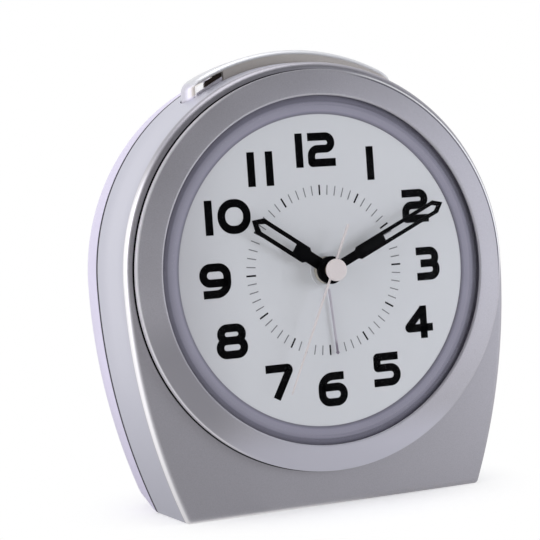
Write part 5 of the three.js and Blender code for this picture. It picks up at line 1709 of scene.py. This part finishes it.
@dataclass
class Hands:
    """The four hands on the dial."""

    hour: Blade = Blade("hour_blade", Body.HOUR, length=26.4, angle=304.2, step=8.0, window=11.9,
                        boss=3.7, bore=2.9, level=2.6, wide=4.7, neck=3.3, rim=1.15)
    minute: Blade = Blade("minute_blade", Body.MINUTE, length=39.4, angle=65.4, step=9.6, window=18.6,
                          boss=3.8, bore=2.0, level=3.8, wide=3.8, neck=2.5, rim=1.05)
    second_length: float = 35.6
    second_tail: float = 13.3
    second_angle: float = 204.4
    second_width: float = 0.6
    second_level: float = 5.0
    second_edge: float = 0.06
    cap: float = 3.0
    cap_front: float = -8.0
    cap_back: float = -6.9
    cap_neck: float = 1.9
    cap_edge: float = 0.5
    cap_edge_steps: int = 8
    cap_segments: int = 96
    arbor: float = 1.1
    alarm_length: float = 23.4
    alarm_angle: float = 175.6
    alarm_width: float = 0.48
    alarm_boss: float = 4.8
    alarm_level: float = 0.7
    alarm_bore: float = 3.8
    alarm_edge: float = 0.08
    thick: float = 0.5
    boss_steps: int = 48
    reach: float = 1.0   # how far a tool runs past a face

    def build(self) -> None:
        """Makes all four and seats them."""
        self.hour.build("hour_hand")
        self.minute.build("minute_hand")
        self.build_second()
        self.build_alarm()

    def build_second(self) -> None:
        """Makes the sweep hand: a thin needle with a tail, and its cap."""
        half = self.second_width / 2.0
        outline = [(half, 0.0), (half / 2.0, self.second_length), (-half / 2.0, self.second_length),
                   (-half, 0.0), (-half, -self.second_tail), (half, -self.second_tail)]
        front, back = -self.second_level - self.thick, -self.second_level
        needle = prism("second_needle", turned_hand(outline, self.second_angle), front, back)
        ease(needle, self.second_edge, steps=1)
        smooth(needle)
        seat(needle, Body.SECOND, "hand_pale", Finishes.SECOND, "second_hand")
        edge = [(self.cap - inset, self.cap_front + fall)
                for inset, fall in edge_round(self.cap_edge, self.cap_edge_steps)]
        profile = [(0.0, self.cap_front), *edge, (self.cap, self.cap_back), (self.cap_neck, self.cap_back),
                   (self.cap_neck, back), (self.arbor, back), (self.arbor, front), (0.0, front)]
        cap = turned("second_cap", profile, self.cap_segments)
        smooth(cap)
        seat(cap, Body.SECOND, "hand_pale", Finishes.CAP)

    def build_alarm(self) -> None:
        """Makes the alarm hand with its dark tip."""
        half, wide = self.alarm_width / 2.0, self.alarm_width
        length = self.alarm_length
        outline = boss_outline(self.alarm_boss, half, self.boss_steps)
        outline += [(-half, length - 2.0 * wide), (-wide, length - wide), (0.0, length),
                    (wide, length - wide), (half, length - 2.0 * wide)]
        front, back = -self.alarm_level - self.thick, -self.alarm_level
        hand = prism("alarm_pointer", turned_hand(outline, self.alarm_angle), front, back)
        bore = rod(self.alarm_bore, front - self.reach, back + self.reach)
        combine(hand, turned("bore", bore, self.boss_steps), Cut.REMOVE)
        ease(hand, self.alarm_edge, steps=1)
        smooth(hand)
        seat(hand, Body.ALARM, "hand_mauve", Finishes.ALARM, "alarm_hand")


# Snooze bar

@dataclass
class SnoozeBar:
    """The bar on top, its smoked sensor window and the spring under it."""

    shape: BarShape
    round_steps: int = 8
    crown_rings: int = 3
    notch_steps: int = 16
    notch_floor: float = 100.0   # the notch's cutter reaches from here up to the arc over the notch
    reach: float = 2.0   # how far a tool runs past a face
    window: Flat = (-26.8, -21.7)
    window_low: float = 55.5
    window_high: float = 60.0
    window_front: float = 12.0
    window_thick: float = 1.2
    window_corner: float = 1.8
    window_round: float = 0.2
    piece_edge: float = 0.15
    insert: Flat = (-29.6, -26.9)
    insert_depth: Flat = (12.4, 18.0)
    sill: Flat = (58.6, 59.1)
    sill_depth: Flat = (11.1, 11.9)
    spring_low: float = 117.6
    spring_high: float = 124.5
    spring_radius: float = 2.7
    wire: float = 0.6
    wire_sides: int = 8
    turns: int = 5
    turn_steps: int = 24
    travel: float = 1.4

    def build(self) -> None:
        """Makes the pieces and seats them."""
        shape = self.shape
        closed = shape.depth / 2.0
        rings = [shape.ring(closed, shape.notch_top), shape.ring(shape.wall, shape.notch_top),
                 shape.ring(shape.wall, shape.under), shape.ring(0.0, shape.under)]
        rings += [shape.ring(inset, shape.top - fall)
                  for fall, inset in edge_round(shape.round, self.round_steps)]
        rings += [shape.ring(shape.round + (closed - shape.round) * k / self.crown_rings, shape.top)
                  for k in range(1, self.crown_rings + 1)]
        bar = skin("snooze_cap", rings)
        left, right = shape.notch
        xs = [left + (right - left) * k / self.notch_steps for k in range(self.notch_steps + 1)]
        outline = [(x, arc_height(x, shape.notch_top)) for x in xs]
        outline += [(x, self.notch_floor) for x in (right, left)]
        notch = prism("notch", outline, shape.front - self.reach, shape.front + shape.depth + self.reach)
        combine(bar, notch, Cut.REMOVE)
        smooth(bar)
        seat(bar, Body.SNOOZE, "silver", Finishes.BAR, "snooze_bar")
        self.build_window()
        self.build_spring()

    def build_window(self) -> None:
        """Makes the sensor window in the bar's notch, the pale insert beside it, which glows as painted
        light, and the sill before them.
        """
        left, right = self.window
        low, high, small = self.window_low, self.window_high, self.window_round
        corners = [(left, high, self.window_corner), (right, high, small), (right, low, small),
                   (left, low, small)]
        outline = rounded([(x, arc_height(x, reach), radius) for x, reach, radius in corners])
        depth = (self.window_front, self.window_front + self.window_thick)
        self.build_filler("sensor_pane", outline, depth, "smoked", Finishes.SMOKED, "sensor_window")
        outline = self.under_arc(*self.insert, high, high)
        self.build_filler("sensor_insert", outline, self.insert_depth, "hand_pale", Finishes.INSERT)
        outline = self.under_arc(self.insert[0], right, *self.sill)
        self.build_filler("sensor_sill", outline, self.sill_depth, "silver", Finishes.SILL)

    def under_arc(self, left: float, right: float, left_reach: float, right_reach: float) -> list[Flat]:
        """Returns a four-sided outline that stands on the window's lower arc.

        Args:
            left: Its left side.
            right: Its right side.
            left_reach: Its upper left corner, from the dial's line.
            right_reach: Its upper right corner, from the dial's line.

        Returns:
            Points in X and Z.
        """
        low = self.window_low
        corners = ((left, left_reach), (right, right_reach), (right, low), (left, low))
        return [(x, arc_height(x, reach)) for x, reach in corners]

    def build_filler(self, name: str, outline: Sequence[Flat], depth: Flat, slot: str, finish: Finish,
                     *nodes: str) -> None:
        """Makes a piece that fills a part of the notch and seats it.

        Args:
            name: The piece's name.
            outline: Its outline in X and Z.
            depth: Its front and its back.
            slot: The record's material slot.
            finish: Its surface.
            nodes: Solids that it replaces.
        """
        filler = prism(name, outline, *depth)
        ease(filler, self.piece_edge)
        smooth(filler)
        seat(filler, Body.SNOOZE, slot, finish, *nodes)

    def build_spring(self) -> None:
        """Makes the coil spring under the bar, with a mesh of its own. The real spring shortens as the bar
        goes down.
        """
        middle = self.shape.front + self.shape.depth / 2.0
        steps = self.turns * self.turn_steps
        low, high = self.spring_low + self.wire / 2.0, self.spring_high - self.wire / 2.0
        rings: list[list[Point]] = []
        for k in range(steps + 1):
            angle = FULL_TURN * self.turns * k / steps
            height = low + (high - low) * k / steps
            out = Vector((math.cos(angle), math.sin(angle), 0.0))
            centre = out * self.spring_radius + Vector((0.0, middle, height))
            spokes = [out * math.cos(a) + Vector((0.0, 0.0, math.sin(a))) for a in around(self.wire_sides)]
            rings.append([tuple(centre + spoke * (self.wire / 2.0)) for spoke in spokes])
        spring = skin("snooze_coil", rings)
        smooth(spring)
        seat(spring, Body.CASE, "steel", Finishes.STEEL, "snooze_spring")
        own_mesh(spring)


# Side and rear pieces

@dataclass
class SideSwitch:
    """The small slide knob on the right side."""

    low: Point = (57.5, 8.6, 51.6)
    high: Point = (60.55, 12.4, 55.4)
    stem_low: Point = (51.9, 9.7, 52.0)
    stem_high: Point = (57.7, 11.3, 55.0)
    groove_pitch: float = 0.95
    groove_half: float = 0.16
    groove_deep: float = 0.3
    edge: float = 0.14
    reach: float = 1.0   # how far a tool runs past a face

    def build(self) -> None:
        """Makes the knob with its grip grooves and seats it."""
        knob = block("switch_knob", self.low, self.high)
        (_, y0, z0), (x1, y1, z1) = self.low, self.high
        for k in (-1.0, 0.0, 1.0):
            height = (z0 + z1) / 2.0 + k * self.groove_pitch
            groove = block("groove", (x1 - self.groove_deep, y0 - self.reach, height - self.groove_half),
                           (x1 + self.reach, y1 + self.reach, height + self.groove_half))
            combine(knob, groove, Cut.REMOVE)
        ease(knob, self.edge)
        combine(knob, block("stem", self.stem_low, self.stem_high), Cut.JOIN)
        smooth(knob)
        seat(knob, Body.SWITCH, "silver", Finishes.SWITCH, "alarm_switch_knob")


@dataclass
class RearKnob:
    """A fluted setting knob on its stem."""

    name: str
    body: Body
    place: Flat
    radius: float = 7.5
    flutes: int = 20
    flute: float = 0.5
    flute_sharp: float = 1.6
    front: float = 49.1
    tall: float = 6.0
    edge: float = 0.6
    edge_steps: int = 5
    stem: float = 2.4
    stem_front: float = 24.5
    dish: float = 5.2
    dish_deep: float = 0.6
    dish_slope: Sequence[Flat] = ((0.0, 0.0), (0.5, 0.8), (0.9, 1.0))   # in, and share of the depth
    flute_steps: int = 8
    sharp: float = 32.0

    def ring(self, radius: float, y: float, fluted: float = 0.0) -> list[Point]:
        """Returns a ring of the knob.

        Args:
            radius: Its radius at the crests.
            y: Its depth.
            fluted: How deep its flutes are, from nought to one.

        Returns:
            Points round the knob.
        """
        x, z = self.place
        points: list[Point] = []
        for angle in around(self.flutes * self.flute_steps):
            wave = 0.5 - 0.5 * math.cos(self.flutes * angle)
            reach = radius - fluted * self.flute * wave ** self.flute_sharp
            points.append((x + reach * math.cos(angle), y, z + reach * math.sin(angle)))
        return points

    def build(self, node: str) -> None:
        """Makes the knob and seats it.

        Args:
            node: The solid that it replaces.
        """
        front, back = self.front, self.front + self.tall
        falls = edge_round(self.edge, self.edge_steps)
        rings = [self.ring(0.0, self.stem_front), self.ring(self.stem, self.stem_front),
                 self.ring(self.stem, front)]
        rings += [self.ring(self.radius - inset, front + deep, 1.0) for inset, deep in falls]
        rings += [self.ring(self.radius - inset, back - deep, 1.0) for deep, inset in falls]
        rings += [self.ring(self.dish - inset, back - share * self.dish_deep)
                  for inset, share in self.dish_slope]
        rings.append(self.ring(0.0, back - self.dish_deep))
        knob = skin(self.name, rings)
        smooth(knob, self.sharp)
        seat(knob, self.body, "dark_plastic", Finishes.KNOB, node)


@dataclass
class BatteryBay:
    """The battery and the door that closes its bay."""

    low: Point = (-28.7, 46.3, 9.3)
    high: Point = (28.7, 48.3, 24.7)
    corner: float = 0.8
    edge: float = 0.12
    groove_half: float = 5.0
    groove: float = 0.5
    groove_pitch: float = 1.6
    grooves: int = 4
    reach: float = 2.0   # how far a tool runs past a face
    cell_radius: float = 7.25
    cell_start: float = -23.2
    cell_length: float = 49.5
    nub: float = 2.7
    nub_reach: float = 1.0
    cell_y: float = 38.55
    cell_z: float = 17.0
    cell_sides: int = 64
    base_rim: Sequence[Flat] = ((2.2, 0.4), (1.6, 0.0), (0.5, 0.0), (0.0, 0.5))   # in from side and end
    top_rim: Sequence[Flat] = ((0.0, 0.5), (0.5, 0.0), (1.4, 0.0), (1.9, 0.35))
    nub_edge: float = 0.3

    def build(self) -> None:
        """Makes the door and the battery and seats them."""
        (x0, y0, z0), (x1, y1, z1) = self.low, self.high
        corners = ((x0, z0), (x1, z0), (x1, z1), (x0, z1))
        door = prism("bay_door", rounded([(x, z, self.corner) for x, z in corners]), y0, y1)
        combine(door, self.groove_cutters(), Cut.REMOVE)
        ease(door, self.edge)
        smooth(door)
        seat(door, Body.DOOR, "silver_pale", Finishes.SILVER_PALE, "battery_door")
        self.build_cell()

    def groove_cutters(self) -> Piece:
        """Makes the bars that cut the door's finger grooves.

        Returns:
            The bars as one tool.
        """
        pattern = block("groove_bar", (-self.groove_half, self.high[1] - self.groove, -self.groove / 2.0),
                        (self.groove_half, self.high[1] + self.reach, self.groove / 2.0))
        places = [(0.0, 0.0, self.high[2] - self.groove_pitch * (k + 1)) for k in range(self.grooves)]
        return copies_at("grooves", Finishes.SILVER_PALE, pattern, places)

    def build_cell(self) -> None:
        """Makes the battery, lying along X."""
        start, end = self.cell_start, self.cell_start + self.cell_length
        crown = end + self.nub_reach
        profile = [(0.0, start + self.base_rim[0][1])]
        profile += [(self.cell_radius - inset, start + along) for inset, along in self.base_rim]
        profile += [(self.cell_radius - inset, end - along) for inset, along in self.top_rim]
        profile += [(self.nub, end - self.top_rim[-1][1]), (self.nub, crown - self.nub_edge),
                    (self.nub - self.nub_edge, crown), (0.0, crown)]
        rings = [[(x, self.cell_y + radius * math.cos(a), self.cell_z + radius * math.sin(a))
                  for a in around(self.cell_sides)] for radius, x in profile]
        cell = skin("cell", rings)
        smooth(cell)
        seat(cell, Body.CASE, "battery", Finishes.CELL, "battery")


@dataclass
class CaseScrews:
    """Four pan head screws with cross recesses, deep in the rear wells."""

    places: Sequence[Flat]
    seat_y: float = 32.7
    head: float = 2.9
    head_tall: float = 2.0
    shank: float = 1.3
    tip: float = 14.7
    cross_wide: float = 0.7
    cross_long: float = 3.2
    cross_deep: float = 1.2
    point: float = 1.5
    point_share: float = 0.5
    brim: float = 0.7
    dome: Sequence[Flat] = ((0.93, 0.5), (0.72, 0.1), (0.5, 0.0))   # share of the head's radius, and fall
    segments: int = 40
    reach: float = 1.0   # how far a tool runs past a face

    def build(self) -> None:
        """Makes the screws with a geometry tree and seats them."""
        crown = self.seat_y + self.head_tall
        profile = [(0.0, self.tip), (self.shank * self.point_share, self.tip),
                   (self.shank, self.tip + self.point), (self.shank, self.seat_y),
                   (self.head, self.seat_y), (self.head, self.seat_y + self.brim)]
        profile += [(self.head * share, crown - fall) for share, fall in self.dome]
        profile.append((0.0, crown))
        pattern = turned("screw", profile, self.segments, (0.0, 0.0))
        for wide, tall in ((self.cross_wide, self.cross_long), (self.cross_long, self.cross_wide)):
            combine(pattern, block("cross", (-wide / 2.0, crown - self.cross_deep, -tall / 2.0),
                                   (wide / 2.0, crown + self.reach, tall / 2.0)), Cut.REMOVE)
        screws = copies_at("case_screws", Finishes.STEEL, pattern, [(x, 0.0, z) for x, z in self.places])
        smooth(screws)
        names = [f"case_screw_{k + 1}" for k in range(len(self.places))]
        seat(screws, Body.CASE, "steel", Finishes.STEEL, *names)


class InnerPieces:
    """Solids that keep their own shape and take a finish from their slot."""

    BY_SLOT: dict[str, Finish] = {
        "silver": Finishes.SILVER, "silver_pale": Finishes.SILVER_PALE, "surround": Finishes.SURROUND,
        "clear": Finishes.CLEAR, "dial": Finishes.DIAL, "backlight": Finishes.BACKLIGHT,
        "hand_black": Finishes.HAND_BLACK, "hand_pale": Finishes.SECOND, "hand_mauve": Finishes.ALARM,
        "smoked": Finishes.SMOKED, "nylon": Finishes.NYLON, "brass": Finishes.BRASS, "steel": Finishes.STEEL,
        "copper": Finishes.COPPER, "board": Finishes.BOARD, "dark_plastic": Finishes.DARK,
        "battery": Finishes.CELL,
    }

    @classmethod
    def build(cls) -> None:
        """Dresses every solid of the frame by its record's slot."""
        for entry in frame["record"]["subparts"]:
            solid = frame["nodes"][entry["node"]]
            solid.data.materials.clear()
            solid.data.materials.append(Finishes.of(cls.BY_SLOT[entry["material_slot"]]))
        log.info("dressed %d solids", len(frame["nodes"]))


# Stage

@dataclass(frozen=True)
class Lamp:
    """A soft rectangular lamp that looks at the clock."""

    name: str
    place: Point
    size: Flat
    power: float
    colour: str = "ffffff"
    aim: Point = (0.0, 0.0, 0.06)
    mirrored: bool = True

    def build(self) -> None:
        """Makes the lamp."""
        data = bpy.data.lights.new(self.name, "AREA")
        data.shape = "RECTANGLE"
        data.size, data.size_y = self.size
        data.energy = self.power
        data.color = linear(self.colour)[:3]
        lamp = bpy.data.objects.new(self.name, data)
        lamp.visible_camera = False
        lamp.visible_glossy = self.mirrored
        lamp.location = self.place
        lamp.rotation_euler = (Vector(self.aim) - Vector(self.place)).to_track_quat("-Z", "Y").to_euler()
        bpy.context.scene.collection.objects.link(lamp)


@dataclass
class Studio:
    """Floor, background, lamps and camera."""

    eye: Point = (-197.61, -438.30, 77.77)
    right: Point = (0.91357, -0.40059, -0.07008)
    up: Point = (0.07484, -0.00378, 0.99719)
    back: Point = (-0.39971, -0.91625, 0.02653)
    lens: float = 111.87
    sensor: float = 36.0
    clip: Flat = (0.01, 50.0)
    world_light: float = 0.36
    floor_half: float = 3.0
    floor_colour: str = "f6f6f6"
    fade: Flat = (0.03, 0.07)   # where the floor goes over to white, in metres from the middle
    floor_lift: float = 0.3
    right_span: Flat = (0.02, 0.2)   # where the mirrored floor changes, in metres across
    right_mirror: Flat = (0.6, 1.0)
    left_span: Flat = (-0.12, -0.05)
    left_mirror: Flat = (0.4, 0.0)
    lamps: Sequence[Lamp] = (
        Lamp("left_softbox", (-1.1, -0.3, 0.36), (1.3, 0.7), 6.0, "f8f6ff"),
        Lamp("top_softbox", (-0.05, -0.05, 1.2), (0.9, 0.9), 5.0),
        Lamp("right_softbox", (0.28, -0.3, 0.1), (0.2, 0.2), 0.16, "f2f5ff"),
        Lamp("right_fill", (0.28, -0.3, 0.1), (0.2, 0.2), 0.5, "f2f5ff", mirrored=False),
    )
    card_reach: float = 1.2
    card_turn: Flat = (-58.0, 58.0)
    card_high: float = 1.6
    card_steps: int = 24
    card_glow: float = 0.14

    def build(self) -> None:
        """Makes the stage."""
        self.build_camera()
        self.build_world()
        self.build_floor()
        self.build_card()
        for lamp in self.lamps:
            lamp.build()
        bpy.context.scene.view_settings.view_transform = "Standard"

    def build_camera(self) -> None:
        """Stands the camera where the photograph was taken."""
        data = bpy.data.cameras.new("camera")
        data.sensor_fit = "HORIZONTAL"
        data.sensor_width = self.sensor
        data.lens = self.lens
        data.clip_start, data.clip_end = self.clip
        camera = bpy.data.objects.new("camera", data)
        axes = Matrix((self.right, self.up, self.back)).transposed().to_4x4()
        camera.matrix_world = Matrix.Translation(Vector(self.eye) * MM) @ axes
        bpy.context.scene.collection.objects.link(camera)
        bpy.context.scene.camera = camera

    @staticmethod
    def stand(name: str, points: Sequence[Sequence[float]], faces: Sequence[Sequence[int]],
              material: bpy.types.Material) -> Piece:
        """Makes a piece of the stage.

        Args:
            name: Its name.
            points: Corners in metres.
            faces: Corner numbers of each face.
            material: Its surface.

        Returns:
            The new object.
        """
        mesh = bpy.data.meshes.new(name)
        mesh.from_pydata(points, [], faces)
        mesh.materials.append(material)
        thing = bpy.data.objects.new(name, mesh)
        bpy.context.scene.collection.objects.link(thing)
        return thing

    def build_world(self) -> None:
        """Makes a grey light all round that camera, glossy and transmitted rays see as white."""
        world = bpy.data.worlds.new("studio")
        world.use_nodes = True
        sheet = NodeSheet(world.node_tree)
        light, white = (sheet.add("ShaderNodeBackground", {"Color": WHITE, "Strength": strength})
                        for strength in (self.world_light, 1.0))
        rays = sheet.add("ShaderNodeLightPath").outputs
        direct = sheet.math("MAXIMUM", rays["Is Camera Ray"], rays["Is Glossy Ray"])
        seen = sheet.math("MAXIMUM", direct, rays["Is Transmission Ray"])
        sheet.show(sheet.cover(seen, light.outputs[0], white.outputs[0]), "ShaderNodeOutputWorld")
        bpy.context.scene.world = world

    def build_card(self) -> None:
        """Makes a curved grey card behind the camera, which the front of the clock mirrors."""
        start, end = self.card_turn
        points: list[Vector] = []
        for k in range(self.card_steps + 1):
            turn = math.radians(start + (end - start) * k / self.card_steps)
            foot = Vector((math.sin(turn), -math.cos(turn), 0.0)) * self.card_reach
            points += [foot, foot + Vector((0.0, 0.0, self.card_high))]
        faces = [[2 * k, 2 * k + 1, 2 * k + 3, 2 * k + 2] for k in range(self.card_steps)]
        sheet = MaterialSheet("grey_card")
        sheet.show(sheet.glow(self.card_glow))
        card = self.stand("grey_card", points, faces, sheet.material)
        card.visible_camera = False
        card.visible_shadow = False

    def build_floor(self) -> None:
        """Makes a pale floor that takes the shadow near the clock and fades to white away from it."""
        sheet = MaterialSheet("floor_paper")
        rays = sheet.add("ShaderNodeLightPath").outputs
        paper = sheet.add("ShaderNodeBsdfDiffuse", {"Color": linear(self.floor_colour)})
        lifted = sheet.add("ShaderNodeAddShader")
        sheet.link(paper.outputs[0], lifted.inputs[0])
        lift = sheet.math("MULTIPLY", rays["Is Camera Ray"], self.floor_lift)
        sheet.link(sheet.glow(lift), lifted.inputs[1])
        away = sheet.add("ShaderNodeVectorMath", {"Vector": sheet.place}, operation="LENGTH")
        fade = sheet.remap(away.outputs["Value"], self.fade, (0.0, 1.0), eased=True)
        seen = sheet.math("MULTIPLY", rays["Is Camera Ray"], fade)
        shader = sheet.cover(seen, lifted.outputs[0], sheet.glow(1.0))
        parts = sheet.add("ShaderNodeSeparateXYZ", {"Vector": sheet.place})
        shades = [sheet.remap(parts.outputs["X"], span, ends) for span, ends in (
            (self.right_span, self.right_mirror), (self.left_span, self.left_mirror))]
        bounced = sheet.math("MAXIMUM", rays["Is Glossy Ray"], rays["Is Transmission Ray"])
        sheet.show(sheet.cover(bounced, shader, sheet.glow(sheet.math("ADD", *shades))))
        half = self.floor_half
        corners = [(-half, -half, 0.0), (half, -half, 0.0), (half, half, 0.0), (-half, half, 0.0)]
        floor = self.stand("floor", corners, [[0, 1, 2, 3]], sheet.material)


def main() -> None:
    """Builds the clock's pieces in order, then the stage."""
    logging.basicConfig(level=logging.INFO, format="%(name)s: %(message)s")
    shape = CaseShape()
    bar = BarShape()
    InnerPieces.build()
    FrontCase(shape, bar).build()
    rear = RearCase(shape)
    rear.build()
    Bezel().build()
    Lens().build()
    DialFace().build()
    Hands().build()
    SnoozeBar(bar).build()
    SideSwitch().build()
    RearKnob("time_knob", Body.TIME_SET, rear.stems[0]).build("time_set_knob")
    RearKnob("alarm_knob", Body.ALARM_SET, rear.stems[1]).build("alarm_set_knob")
    BatteryBay().build()
    CaseScrews(rear.screws).build()
    Studio().build()
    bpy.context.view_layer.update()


if __name__ == "__main__":
    main()
